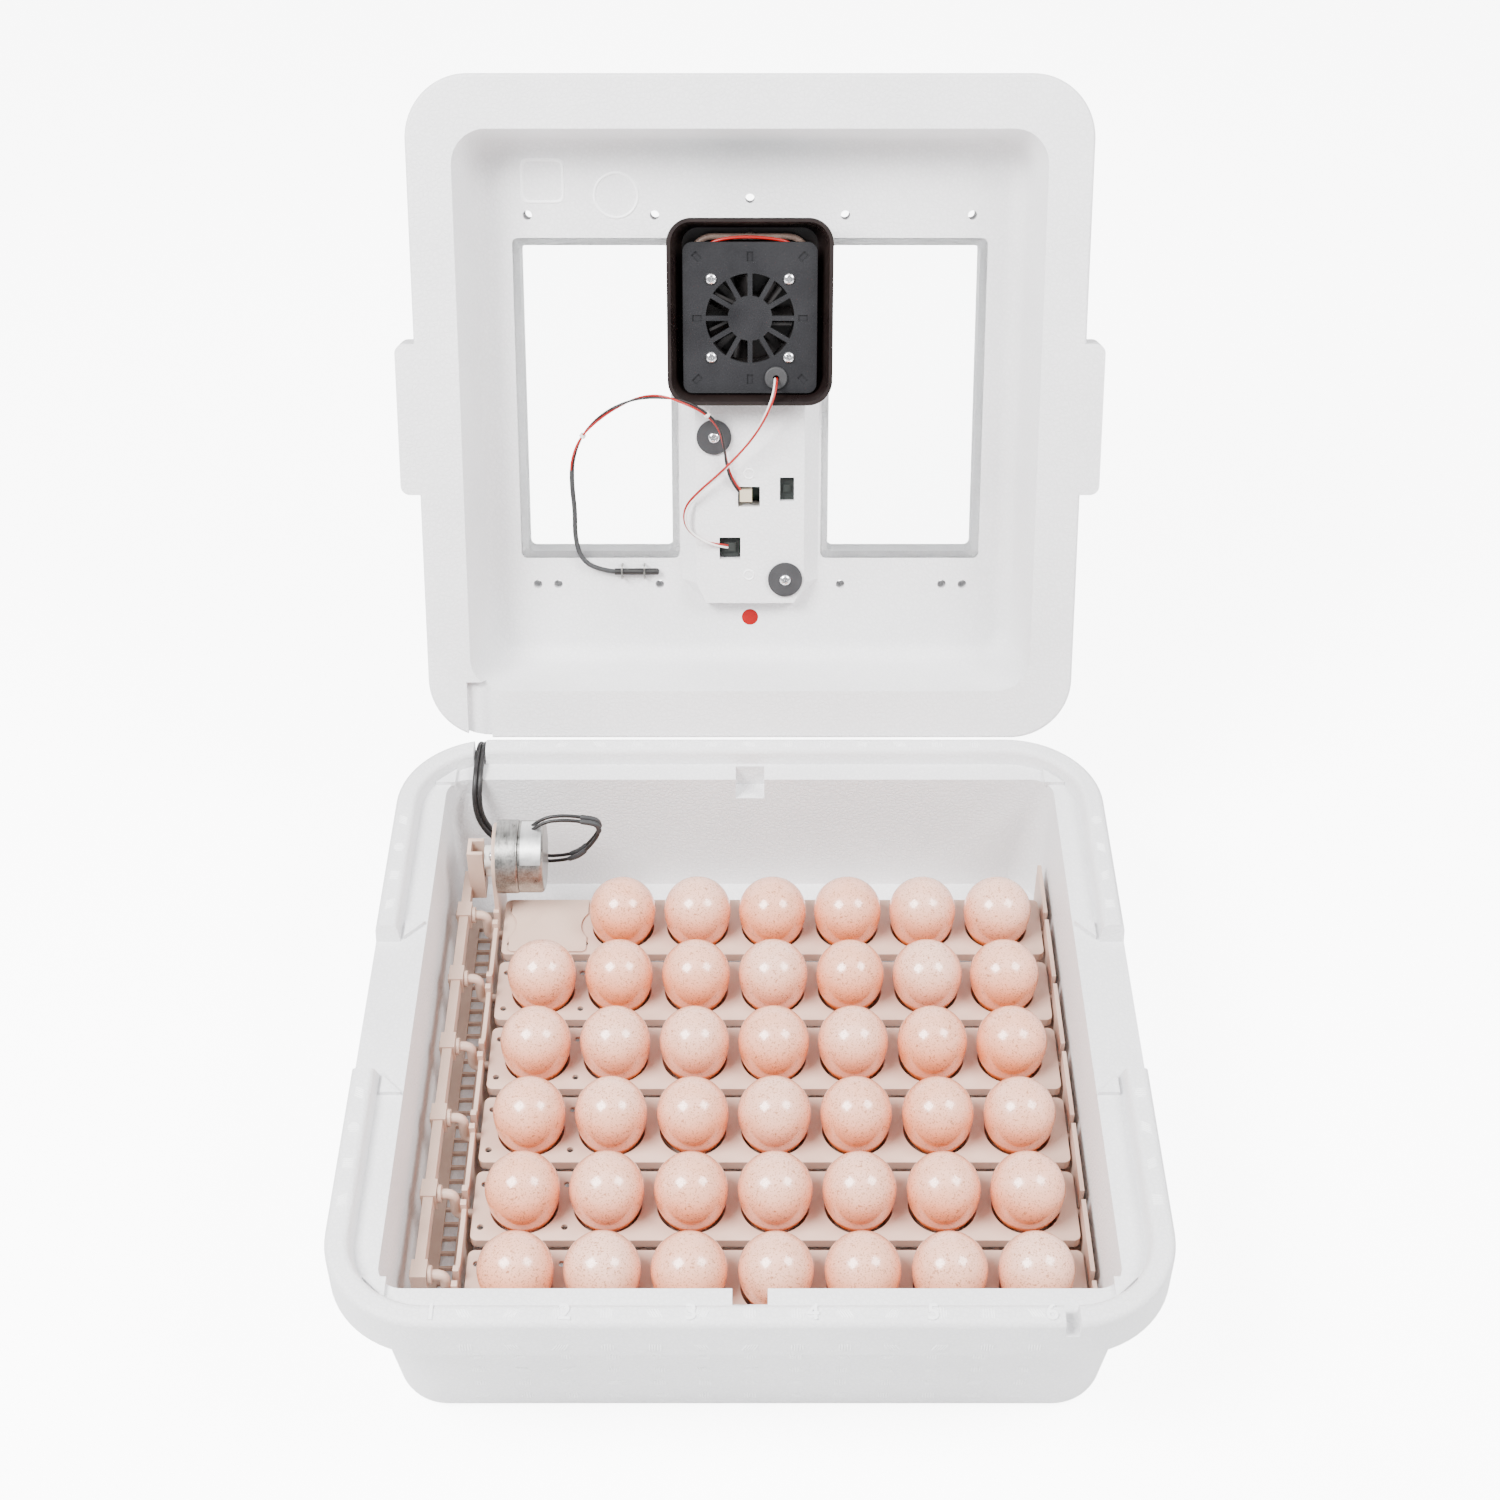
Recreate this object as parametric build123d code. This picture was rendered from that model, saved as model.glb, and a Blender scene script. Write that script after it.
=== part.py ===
from build123d import *

import math
import os

# Egg incubator: a foam tub with an automatic six-row egg turner in it, and a foam lid that carries the
# heater, the fan, the windows and the control box. The origin is the centre of the tub's underside,
# +X to the right, +Y to the rear, +Z up. The lid is modelled in its own frame and leans open at the rear.

# ---------------------------------------------------------------- foam tub
RIM_W = 460.0              # outside of the rim, both ways
RIM_R = 60.0
TUB_H = 126.0
SKIRT_H = 28.0             # depth of the rim's outer band
BODY_W = 425.0             # body just under the band
BODY_R = 40.0
FOOT_W = 400.0             # underside
FOOT_R = 30.0
FOOT_ROUND = 8.0
LEDGE = 13.0               # flat top of the rim
LEDGE_ROUND = 4.0
SEAT_DROP = 11.0           # from the ledge down to the seat that the lid rests in
SEAT_W = 15.0
SEAT_DRAFT = 2.0
CAVITY_DRAFT = 5.0
CAVITY_R = 14.0              # corners of the cavity at the seat
CAVITY_FOOT_R = 20.0         # and at the floor, where they follow the body's corners
FLOOR_T = 22.0
EAR_NOTCH_L = 106.0        # gap in the rim beside each of the lid's ears
EAR_NOTCH_SLOPE = 4.0
INNER_NOTCH_W = 19.0       # notch in the seat, mid-front and mid-rear
INNER_NOTCH_DROP = 16.0
INNER_NOTCH_D = 13.0
RIB_H = 3.0                # small wedges that hold the lid off the seat
RIB_L = 13.0
CORD_SLOT_W = 8.0
CORD_SLOT_X = 169.0        # spare slot at the front right
CORD_EXIT_X = -180.0       # slot used by the turner's cord, rear left

# ---------------------------------------------------------------- foam lid
LID_GAP = 1.5              # lid edge to the wall of the seat
LID_R = 40.0
LID_H = 72.0
LID_TOP_INSET = 9.5        # draft of the outer walls
LID_TOP_ROUND = 9.0
LID_EDGE_ROUND = 2.0
FLANGE_SIDE = 28.5
FLANGE_END = 33.0
RECESS_DEPTH = 50.0
RECESS_DRAFT = 10.0
RECESS_R = 20.0
CEILING_ROUND = 12.0
EAR_L = 97.0
EAR_OUT = 12.0
EAR_H = 26.0
CORD_GROOVE_W = 16.0
CORD_GROOVE_D = 6.0
OPEN_LEAN = 24.0           # how far past upright the open lid leans
LEAN_INSET = 2.0           # where its edge rests on the ledge: in from the rim, and above it
LEAN_LIFT = 0.6
WINDOW_W = 97.0
WINDOW_L = 202.0
WINDOW_X = 100.5           # centre of each window
WINDOW_S = 217.5
WINDOW_R = 4.0
PANE_LIP = 4.5
PANE_T = 1.5
PANE_GAP = 0.25
VENT_D = 6.0
VENTS = [(-143.4, 337.5), (-61.5, 337.5), (61.5, 337.5), (143.4, 337.5), (0.0, 348.0),
         (-143.4, 93.5), (-129.6, 93.5), (-61.0, 93.5), (61.0, 93.5), (129.6, 93.5), (143.4, 93.5)]
PLUG_S = 70.7
PLUG_D = 11.0
PLUG_HEAD_D = 17.0
PLUG_HEAD_T = 3.0
BOSS_W = 93.0              # raised pad under the control box
BOSS_TOP_W = 72.0
BOSS_S0 = 80.5
BOSS_S1 = 221.0
BOSS_CHAMFER = 17.0
BOSS_H = 12.0
POCKET_W = 92.0            # outer pocket that the control box sits in
POCKET_L = 132.0
POCKET_S = 149.0
POCKET_DEPTH = 16.0
PEEK_SENSOR = (-0.7, 156.0, 14.5, 13.5)    # openings cut through the pad: x, s, width, length
PEEK_HUMIDITY = (24.5, 161.0, 9.5, 16.0)
PEEK_FAN = (-13.4, 121.0, 14.0, 15.0)

# ---------------------------------------------------------------- heater and fan
HOUSING_S = 279.8
HOUSING_W = 106.0          # at the rim
HOUSING_L = 118.5
HOUSING_R = 16.0
HOUSING_H = 35.0
HOUSING_FLARE = 7.0
HOUSING_T = 2.5
FAN_S = 275.0
FAN_W = 60.0
FAN_T = 15.0
FAN_HOLES = 50.0
FAN_BORE = 57.0
FAN_HUB_D = 28.6
BLADES = 7
BLADE_GAP = 1.2
PLATE_W = 86.0
PLATE_L = 96.0
PLATE_R = 6.0
PLATE_T = 3.0
POST_H = 4.5
POST_D = 9.0
SPOKES = 12
SPOKE_W = 3.1
SCREW_D = 4.0
SCREW_HEAD_D = 7.1
SCREW_HEAD_T = 2.0
SCREW_CLEAR = 0.1
GROMMET_X = 16.8
GROMMET_S = 236.8
GROMMET_D = 14.7
GROMMET_NECK_D = 11.0
HEATER_WIRE_D = 4.0
HEATER_X = 38.0            # half sizes of the heating loop's path
HEATER_Y = 45.5
HEATER_LIFT = 12.0

# ---------------------------------------------------------------- control box
BOX_GAP = 1.0              # to the walls of the pocket
BOX_T = 2.0
BOX_BASE_H = 14.0
BOX_COVER_H = 12.0
BOX_R = 5.0
BOARD_T = 1.6
BOARD_LIFT = 4.0
DISPLAY_W = 52.0
DISPLAY_L = 24.0
DISPLAY_S = 178.0
BUTTON_D = 9.0
BUTTON_S = 138.0
BUTTON_PITCH = 18.0
BUTTON_CLEAR = 0.15
INLET_S = 108.0
INLET_D = 9.0
WASHER_D = 23.0
WASHER_T = 2.0
WASHERS = [(-23.7, 196.0), (23.5, 100.0)]
PROBE_D = 4.5
LEAD_D = 3.0

# ---------------------------------------------------------------- egg turner
ROWS = 6
COLUMNS = 7
ROW_PITCH = 55.7
COLUMN_PITCH = 48.5
FIRST_ROW_Y = 118.2
MIDDLE_X = 14.5
PIVOT_Z = 52.0
TRAY_L = 350.0
TRAY_W = 49.0
TRAY_T = 2.0
TRAY_UP = 8.0              # plate top above the pivot
TRAY_SKIRT = 6.0
TRAY_WALL = 1.6
TRAY_R = 4.0
CUP_D = 40.0
CUP_FOOT_D = 28.0
CUP_DEPTH = 18.5
CUP_WALL = 1.5
CUP_DRAIN_D = 9.0
PEG_HOLE_D = 4.0
PIN_D = 6.0
RUN_CLEAR = 0.1            # radial, pin in hole
CRANK_L = 19.0
CRANK_BEND = 4.5
COLLAR_D = 10.5
COLLAR_T = 2.0
COVER_L = 50.0
COVER_W = 46.0
COVER_T = 1.5
RAIL_T = 2.5
RAIL_H = 44.0
RAIL_LUG = 4.0
RAIL_GAP = 3.0             # tray end to the inner face of the left rail
RIGHT_GAP = 1.5
RAIL_REAR = 46.8           # rail past the first row, and past the last
RAIL_FRONT = 22.0
RAIL_FOOT_T = 3.0
LEFT_FOOT_W = 26.5
RIGHT_FOOT_W = 12.0
LADDER_W = 8.5
LADDER_L = 9.0
LADDER_RIB = 1.5
CROSS_T = 4.0
CROSS_H = 12.0
BAR_X = -184.8             # middle of the drive bar
BAR_W = 5.6
BAR_H = 10.0
HEAD_W = 9.0
HEAD_L = 12.0
HEAD_H = 12.5
YOKE_W = 15.0
YOKE_X0 = -183.0
YOKE_X1 = -173.0
YOKE_TOP = 106.0
YOKE_FLOOR = 80.0
YOKE_SLOT = 9.6
MOTOR_Y = 146.0
MOTOR_Z = 97.0
MOTOR_THROW = 12.2
MOTOR_PIN_D = 5.0
GEARBOX_D = 48.0
GEARBOX_T = 14.5
CAN_D = 47.0
CAN_T = 16.0
SHAFT_D = 6.0
HUB_D = 15.0
HUB_T = 5.7
EGG_R = 21.8
EGG_POINT = 34.5           # from the widest place down to the pointed end
EGG_TIP_R = 12.0
EGG_LIFT = 16.0            # widest place above the tray

# ---------------------------------------------------------------- cords (routes chosen by hand)
CORD_D = 5.0
CORD_ROUTE = [(-142, 149, 118), (-133, 151, 126), (-119, 152, 127.5), (-106, 151, 121), (-101, 151, 108),
              (-108, 153, 94), (-121, 158, 83), (-136, 167, 74), (-152, 178, 69), (-168, 185, 74),
              (-178, 186, 88), (-181, 188, 104), (-180, 198, 119), (-180, 215, 120), (-180, 233, 118),
              (-179.5, 246, 105), (-178, 250, 87), (-175, 250, 67), (-173, 251, 47), (-168, 254, 28),
              (-159, 260, 12), (-146, 269, 3.6), (-130, 278, 3.0), (-113, 284, 3.6)]
COIL = (-70.0, 295.0)
COIL_OUT_D = 94.0
COIL_IN_D = 54.0
COIL_H = 15.0
PLUG_BODY = (24.0, 16.0, 36.0)
SENSOR_ROUTE = [(-5.5, 158.5, 13), (-12, 167, 15), (-15.5, 179, 17), (-17, 192, 20), (-20, 205, 26),
                (-29, 216, 33), (-42, 223.5, 39.5), (-56, 227, 38), (-71, 225, 29), (-86, 218, 19),
                (-100, 208, 11.5), (-112, 195, 7), (-118, 179, 5), (-118.5, 162, 4.5), (-116.8, 145, 4.2),
                (-117.3, 128, 4), (-114, 113, 4), (-104, 105, 4), (-91, 103.3, 4)]
FAN_ROUTE = [(16.8, 236.8, 21), (16.9, 236.6, 31), (15.5, 228, 39), (11, 216, 38.5), (4, 202, 31),
             (-6, 188, 25), (-19, 174, 22.5), (-33, 161, 18.5), (-43.5, 149, 16), (-43, 136, 15),
             (-33, 127.5, 15.5), (-21.5, 124, 16), (-15, 121.5, 8)]
HEATER_LEAD_ROUTE = [(-30, 313, 5), (-31, 316, 14), (-25, 323, 20.5), (-9, 326, 21.5), (9, 325.5, 21),
                     (25, 323, 20), (31, 316, 14), (30, 313, 5)]

# ---------------------------------------------------------------- sizes that follow from those above
SEAT_Z = TUB_H - SEAT_DROP
CAVITY_W = RIM_W - 2 * (LEDGE + SEAT_DRAFT + SEAT_W)
SEAT_OUT_W = CAVITY_W + 2 * SEAT_W
LID_W = SEAT_OUT_W - 2 * LID_GAP
LID_Z = SEAT_Z + RIB_H
CEILING_Z = LID_Z + RECESS_DEPTH
LID_ROOF_T = LID_H - RECESS_DEPTH
TRAY_Z = PIVOT_Z + TRAY_UP
ROW_Y = [FIRST_ROW_Y - ROW_PITCH * k for k in range(ROWS)]
COLUMN_X = [COLUMN_PITCH * (j - (COLUMNS - 1) / 2) for j in range(COLUMNS)]
LEFT_RAIL_X = MIDDLE_X - TRAY_L / 2 - RAIL_GAP          # inner face
RIGHT_RAIL_X = MIDDLE_X + TRAY_L / 2 + RIGHT_GAP
RAIL_Y0 = ROW_Y[-1] - RAIL_FRONT
RAIL_Y1 = ROW_Y[0] + RAIL_REAR
BAR_Z = PIVOT_Z + CRANK_L
TILT = math.degrees(math.asin(MOTOR_THROW / CRANK_L))
PLATE_Q = HOUSING_T + POST_H + FAN_T                    # back of the fan plate, out from the ceiling
POCKET_Q = POCKET_DEPTH - LID_ROOF_T                    # floor of the control box's pocket
BOX_W = POCKET_W - 2 * BOX_GAP
BOX_L = POCKET_L - 2 * BOX_GAP
BOARD_Q = POCKET_Q - BOX_T - BOARD_LIFT
COVER_Q = POCKET_Q - BOX_BASE_H
FACE_Q = COVER_Q - BOX_COVER_H                          # outside face of the control box


# ---------------------------------------------------------------- helpers
def slab(x0, x1, y0, y1, z0, z1):
    """A box between two opposite corners."""
    return Pos((x0 + x1) / 2, (y0 + y1) / 2, (z0 + z1) / 2) * Box(x1 - x0, y1 - y0, z1 - z0)


def tapered(low, high, z0, z1):
    """A drafted block between two rounded rectangles, each (width, length, corner radius)."""
    faces = [(Pos(0, 0, z) * RectangleRounded(*size)).face() for size, z in ((low, z0), (high, z1))]
    return loft(faces, ruled=True)


def disc(x, y, z0, z1, diameter, end_diameter=None):
    """An upright cylinder, or a cone where an end diameter is given."""
    if end_diameter is None:
        return Pos(x, y, (z0 + z1) / 2) * Cylinder(diameter / 2, z1 - z0)
    return Pos(x, y, (z0 + z1) / 2) * Cone(diameter / 2, end_diameter / 2, z1 - z0)


def rod_x(x0, x1, y, z, diameter):
    """A cylinder that lies along X."""
    return Pos((x0 + x1) / 2, y, z) * Rot(0, 90, 0) * Cylinder(diameter / 2, x1 - x0)


def polygon_face(points, z):
    """A flat face with straight edges at one height."""
    return Face(Wire.make_polygon([(x, y, z) for x, y in points], close=True))


def cord_tube(route, diameter, name):
    """A tube of straight runs joined by the largest tangent arcs that the runs leave room for."""
    points = [Vector(*point) for point in route]
    radii = []
    for before, here, after in zip(points, points[1:], points[2:]):
        turn = (here - before).get_angle(after - here)
        shorter = min((here - before).length, (after - here).length)
        radii.append(0.45 * shorter / math.tan(math.radians(turn / 2)))
    path = FilletPolyline(*points, radius=radii)
    section = Plane(origin=path @ 0, z_dir=path % 0) * Circle(diameter / 2)
    tube = sweep(section, path=path)
    expected = math.pi * diameter ** 2 / 4 * path.length
    print(f"{name}: length {path.length:.1f}, volume over section x length {tube.volume / expected:.4f},"
          f" radii {' '.join(f'{radius:.0f}' for radius in radii)}")
    return tube


# ---------------------------------------------------------------- foam tub
def tub_solid():
    """Outer form: drafted body, projecting rim band with rounded edges."""
    body = tapered((FOOT_W, FOOT_W, FOOT_R), (BODY_W, BODY_W, BODY_R), 0, TUB_H - SKIRT_H + 1)
    body = fillet(body.faces().sort_by(Axis.Z)[0].edges(), FOOT_ROUND)
    band = extrude(Pos(0, 0, TUB_H - SKIRT_H) * RectangleRounded(RIM_W, RIM_W, RIM_R), SKIRT_H)
    band = fillet(band.faces().sort_by(Axis.Z)[-1].edges(), LEDGE_ROUND)
    return body + band


def seat_step():
    """Space above the seat, with drafted walls."""
    seat_r = RIM_R - LEDGE - SEAT_DRAFT
    top_w = SEAT_OUT_W + 2 * SEAT_DRAFT
    return tapered((SEAT_OUT_W, SEAT_OUT_W, seat_r), (top_w, top_w, seat_r + 1), SEAT_Z, TUB_H)


def tub_cavity():
    """Space below the seat, down to the floor."""
    floor_w = CAVITY_W - 2 * CAVITY_DRAFT
    return tapered((floor_w, floor_w, CAVITY_FOOT_R), (CAVITY_W, CAVITY_W, CAVITY_R), FLOOR_T, SEAT_Z)


def base_shell():
    """The foam tub with the notches for the lid's ears, the cord slots and the lid's wedges."""
    tub = tub_solid() - seat_step()
    ledge = tub.faces().sort_by(Axis.Z)[-1]
    tub = fillet(ledge.inner_wires()[0].edges(), LEDGE_ROUND) - tub_cavity()
    half, top_half = RIM_W / 2, EAR_NOTCH_L / 2 + EAR_NOTCH_SLOPE
    ends = [(-top_half, TUB_H + 1), (-EAR_NOTCH_L / 2, SEAT_Z), (EAR_NOTCH_L / 2, SEAT_Z), (top_half, TUB_H + 1)]
    for side in (-1, 1):
        profile = Face(Wire.make_polygon([(0, y, z) for y, z in ends], close=True))
        tub -= Pos(side * (half - LEDGE - 2 * SEAT_DRAFT), 0, 0) * extrude(profile, 2 * LEDGE, dir=(side, 0, 0))
    for side in (-1, 1):
        y0 = side * (CAVITY_W / 2 - 1)
        y1 = side * (CAVITY_W / 2 + INNER_NOTCH_D)
        tub -= slab(-INNER_NOTCH_W / 2, INNER_NOTCH_W / 2, min(y0, y1), max(y0, y1),
                    SEAT_Z - INNER_NOTCH_DROP, SEAT_Z + 1)
    for x, side in ((CORD_SLOT_X, -1), (CORD_EXIT_X, 1)):
        y0, y1 = side * (half - LEDGE - 6 * SEAT_DRAFT), side * (half + 1)
        tub -= slab(x - CORD_SLOT_W / 2, x + CORD_SLOT_W / 2, min(y0, y1), max(y0, y1), SEAT_Z, TUB_H + 1)
    return tub + lid_wedges()


def lid_wedges():
    """Triangular wedges on the seat, at its corners and beside the ear notches."""
    inner = CAVITY_W / 2
    wedges = []
    triangle = [(0, 0), (RIB_L, 0), (0, RIB_L)]
    for sx in (-1, 1):
        for sy in (-1, 1):
            corner = [(sx * (inner + 1 + a - RIB_L / 2), sy * (inner + 1 + b - RIB_L / 2)) for a, b in triangle]
            beside = [(sx * (inner + 1), sy * (EAR_NOTCH_L / 2 + RIB_L + 2)),
                      (sx * (inner + RIB_L), sy * (EAR_NOTCH_L / 2 + RIB_L + 2)),
                      (sx * (inner + RIB_L), sy * (EAR_NOTCH_L / 2 + 2))]
            for points in (corner, beside):
                wedges.append(extrude(polygon_face(points, SEAT_Z - 1), RIB_H + 1, dir=(0, 0, 1)))
    return wedges


# ---------------------------------------------------------------- lid (lid frame: x, s from the rear edge,
# q out of the ceiling towards the eggs)
def lid_block():
    """Outer form of the lid with its two ears, before anything is cut."""
    middle = LID_W / 2
    top_w = LID_W - 2 * LID_TOP_INSET
    block = tapered((top_w, top_w, LID_R - LID_TOP_INSET / 2), (LID_W, LID_W, LID_R), -LID_ROOF_T, RECESS_DEPTH)
    block = fillet(block.faces().sort_by(Axis.Z)[0].edges(), LID_TOP_ROUND)
    block = fillet(block.faces().sort_by(Axis.Z)[-1].edges(), LID_EDGE_ROUND)
    ears = Pos(0, 0, RECESS_DEPTH - EAR_H) * extrude(RectangleRounded(LID_W + 2 * EAR_OUT, EAR_L, 6), EAR_H)
    ears = fillet(ears.faces().sort_by(Axis.Z)[0].edges(), 3)
    return Pos(0, middle, 0) * (block + ears)


def lid_recess():
    """The hollow underside, with a soft corner where its walls meet the ceiling."""
    size_x, size_y = LID_W - 2 * FLANGE_SIDE, LID_W - 2 * FLANGE_END
    ceiling = (size_x - 2 * RECESS_DRAFT, size_y - 2 * RECESS_DRAFT, RECESS_R)
    hollow = tapered(ceiling, (size_x, size_y, RECESS_R + 2), 0, RECESS_DEPTH + 0.001)
    hollow = fillet(hollow.faces().sort_by(Axis.Z)[0].edges(), CEILING_ROUND)
    return Pos(0, LID_W / 2, 0) * hollow


def lid_boss():
    """Raised pad between the windows with sloping sides and chamfered rear corners."""
    foot, top = BOSS_W / 2, BOSS_TOP_W / 2
    low = [(-foot, BOSS_S1), (-foot, BOSS_S0 + BOSS_CHAMFER), (-foot + BOSS_CHAMFER, BOSS_S0),
           (foot - BOSS_CHAMFER, BOSS_S0), (foot, BOSS_S0 + BOSS_CHAMFER), (foot, BOSS_S1)]
    high = [(-top, BOSS_S1), (-top, BOSS_S0 + BOSS_CHAMFER), (-foot + BOSS_CHAMFER, BOSS_S0 + 3),
            (foot - BOSS_CHAMFER, BOSS_S0 + 3), (top, BOSS_S0 + BOSS_CHAMFER), (top, BOSS_S1)]
    return loft([polygon_face(low, -1), polygon_face(high, BOSS_H)], ruled=True)


def lid_shell():
    """The foam lid with windows, vents, the control box's pocket and the cut-outs through the pad."""
    lid = lid_block() - lid_recess() + lid_boss()
    for side in (-1, 1):
        centre = Pos(side * WINDOW_X, WINDOW_S, 0)
        lid -= centre * extrude(Pos(0, 0, -LID_ROOF_T - 1) * RectangleRounded(WINDOW_W, WINDOW_L, WINDOW_R),
                                LID_ROOF_T + 2)
        rebate = (WINDOW_W + 2 * (PANE_LIP + PANE_GAP), WINDOW_L + 2 * (PANE_LIP + PANE_GAP), WINDOW_R)
        lid -= centre * extrude(Pos(0, 0, -PANE_T) * RectangleRounded(*rebate), PANE_T + 1)
    pocket = RectangleRounded(POCKET_W, POCKET_L, BOX_R + BOX_GAP)
    lid -= Pos(0, POCKET_S, -LID_ROOF_T - 1) * extrude(pocket, POCKET_DEPTH + 1)
    for x, s, width, length in (PEEK_SENSOR, PEEK_HUMIDITY, PEEK_FAN):
        lid -= slab(x - width / 2, x + width / 2, s - length / 2, s + length / 2, POCKET_Q - 1, BOSS_H + 1)
    for x, s in VENTS:
        lid -= disc(x, s, -LID_ROOF_T - 1, 1, VENT_D)
    lid -= disc(0, PLUG_S, -LID_ROOF_T - 1, 1, PLUG_D + 2 * RUN_CLEAR)
    for x, s in WASHERS:
        lid -= disc(x, s, POCKET_Q - 1, BOSS_H + 1, SCREW_D + 2 * SCREW_CLEAR)
    groove = CORD_GROOVE_W / 2
    lid -= slab(CORD_EXIT_X - groove, CORD_EXIT_X + groove, -1, FLANGE_END + 6,
                RECESS_DEPTH - CORD_GROOVE_D, RECESS_DEPTH + 1)
    return lid


def window_pane(side):
    """A clear sheet let into the ceiling over one window."""
    sheet = RectangleRounded(WINDOW_W + 2 * PANE_LIP, WINDOW_L + 2 * PANE_LIP, WINDOW_R)
    return Pos(side * WINDOW_X, WINDOW_S, -PANE_T) * extrude(sheet, PANE_T)


def vent_plug():
    """Push-in plug with a domed head on the outside of the lid."""
    head = disc(0, PLUG_S, -LID_ROOF_T - PLUG_HEAD_T, -LID_ROOF_T, PLUG_HEAD_D)
    head = fillet(head.faces().sort_by(Axis.Z)[0].edges(), 1.5)
    return head + disc(0, PLUG_S, -LID_ROOF_T - 1, 0, PLUG_D)


# ---------------------------------------------------------------- heater and fan, in the lid frame
def fan_corners():
    """Centres of the fan's four screws."""
    half = FAN_HOLES / 2
    return [(sx * half, FAN_S + sy * half) for sx in (-1, 1) for sy in (-1, 1)]


def heater_housing():
    """Flared open cup with four posts for the fan and four saddles for the heating loop."""
    foot = (HOUSING_W - 2 * HOUSING_FLARE, HOUSING_L - 2 * HOUSING_FLARE, HOUSING_R - 3)
    rim = (HOUSING_W, HOUSING_L, HOUSING_R)
    thin = [tuple(v - 2 * HOUSING_T for v in size[:2]) + (size[2] - HOUSING_T,) for size in (foot, rim)]
    slope = HOUSING_FLARE * HOUSING_T / HOUSING_H
    inside = (thin[0][0] + 2 * slope, thin[0][1] + 2 * slope, thin[0][2])
    cup = tapered(foot, rim, 0, HOUSING_H) - tapered(inside, thin[1], HOUSING_T, HOUSING_H + 0.001)
    cup = Pos(0, HOUSING_S, 0) * cup
    for x, s in fan_corners():
        cup += disc(x, s, HOUSING_T - 0.5, HOUSING_T + POST_H, POST_D)
        cup -= disc(x, s, HOUSING_T, HOUSING_T + POST_H + 1, SCREW_D + 2 * SCREW_CLEAR)
    saddle = HEATER_LIFT - HEATER_WIRE_D / 2
    for x, s in ((-HEATER_X, 0), (HEATER_X, 0), (0, -HEATER_Y), (0, HEATER_Y)):
        cup += disc(x, HOUSING_S + s, HOUSING_T - 0.5, saddle, 6)
    return cup


def heater_loop():
    """Heating element: one closed loop round the fan."""
    path = Wire(Pos(0, HOUSING_S, HEATER_LIFT) * RectangleRounded(2 * HEATER_X, 2 * HEATER_Y, 14).face().outer_wire())
    section = Plane(origin=path @ 0, z_dir=path % 0) * Circle(HEATER_WIRE_D / 2)
    return sweep(section, path=path)


def fan_frame():
    """Square fan frame with a round duct, corner holes and a four-strut spider behind the rotor."""
    low = PLATE_Q - FAN_T
    frame = extrude(Pos(0, FAN_S, low) * RectangleRounded(FAN_W, FAN_W, 4), FAN_T)
    frame -= disc(0, FAN_S, low - 1, PLATE_Q + 1, FAN_BORE)
    spider = disc(0, FAN_S, low, low + 2.5, FAN_HUB_D)
    for angle in range(0, 180, 90):
        spider += Pos(0, FAN_S, low + 1.25) * Rot(0, 0, angle + 45) * Box(FAN_BORE + 2, 4, 2.5)
    frame += spider
    frame -= disc(0, FAN_S, low - 1, low + 4, 3 + 2 * RUN_CLEAR)
    for x, s in fan_corners():
        frame -= disc(x, s, low - 1, PLATE_Q + 1, SCREW_D + 2 * SCREW_CLEAR)
    return frame


def fan_impeller():
    """Rotor: hub on a thin spindle and seven pitched blades, cut to a cylinder inside the duct."""
    low = PLATE_Q - FAN_T
    z0, z1 = low + 3.2, PLATE_Q - 0.8
    hub = disc(0, 0, z0, z1, FAN_HUB_D) + disc(0, 0, low + 0.5, z0 + 1, 3)
    hub = fillet(hub.faces().sort_by(Axis.Z)[-1].edges(), 1.5)
    reach = FAN_BORE / 2 - BLADE_GAP
    ring = disc(0, 0, z0 + 0.3, z1 - 0.3, 2 * reach)
    middle = (z0 + z1) / 2
    for k in range(BLADES):
        sheet = Pos(reach / 2 + 2, 0, middle) * Rot(38, 0, 0) * Box(reach + 4, 1.4, 2 * FAN_T)
        hub += Rot(0, 0, 360 / BLADES * k) * (sheet & ring)
    return Pos(0, FAN_S, 0) * hub


def fan_plate():
    """Cover plate with the spoked grille, small louvres, screw holes and the lead's hole."""
    plate = extrude(Pos(0, FAN_S, PLATE_Q) * RectangleRounded(PLATE_W, PLATE_L, PLATE_R), PLATE_T)
    low, high = PLATE_Q - 1, PLATE_Q + PLATE_T + 1
    ring = disc(0, FAN_S, low, high, FAN_BORE) - disc(0, FAN_S, low, high, FAN_HUB_D)
    for k in range(SPOKES // 2):
        ring -= Pos(0, FAN_S, PLATE_Q) * Rot(0, 0, 360 / SPOKES * k) * Box(PLATE_W, SPOKE_W, 4 * PLATE_T)
    plate -= ring
    for x, s in fan_corners():
        plate -= disc(x, s, low, high, SCREW_D + 2 * SCREW_CLEAR)
    for sx, sy in ((0, 1), (1, 0), (0, -1), (-1, 0), (1, 1), (-1, 1), (1, -1), (-1, -1)):
        turn = 0 if sx == 0 else (90 if sy == 0 else -45 * sx * sy)
        centre = Pos(sx * (PLATE_W / 2 - 9), FAN_S + sy * (PLATE_L / 2 - 9), PLATE_Q + PLATE_T)
        plate -= centre * Rot(0, 0, turn) * Box(4, 6, 2)
    return plate - disc(GROMMET_X, GROMMET_S, low, high, GROMMET_NECK_D)


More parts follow.
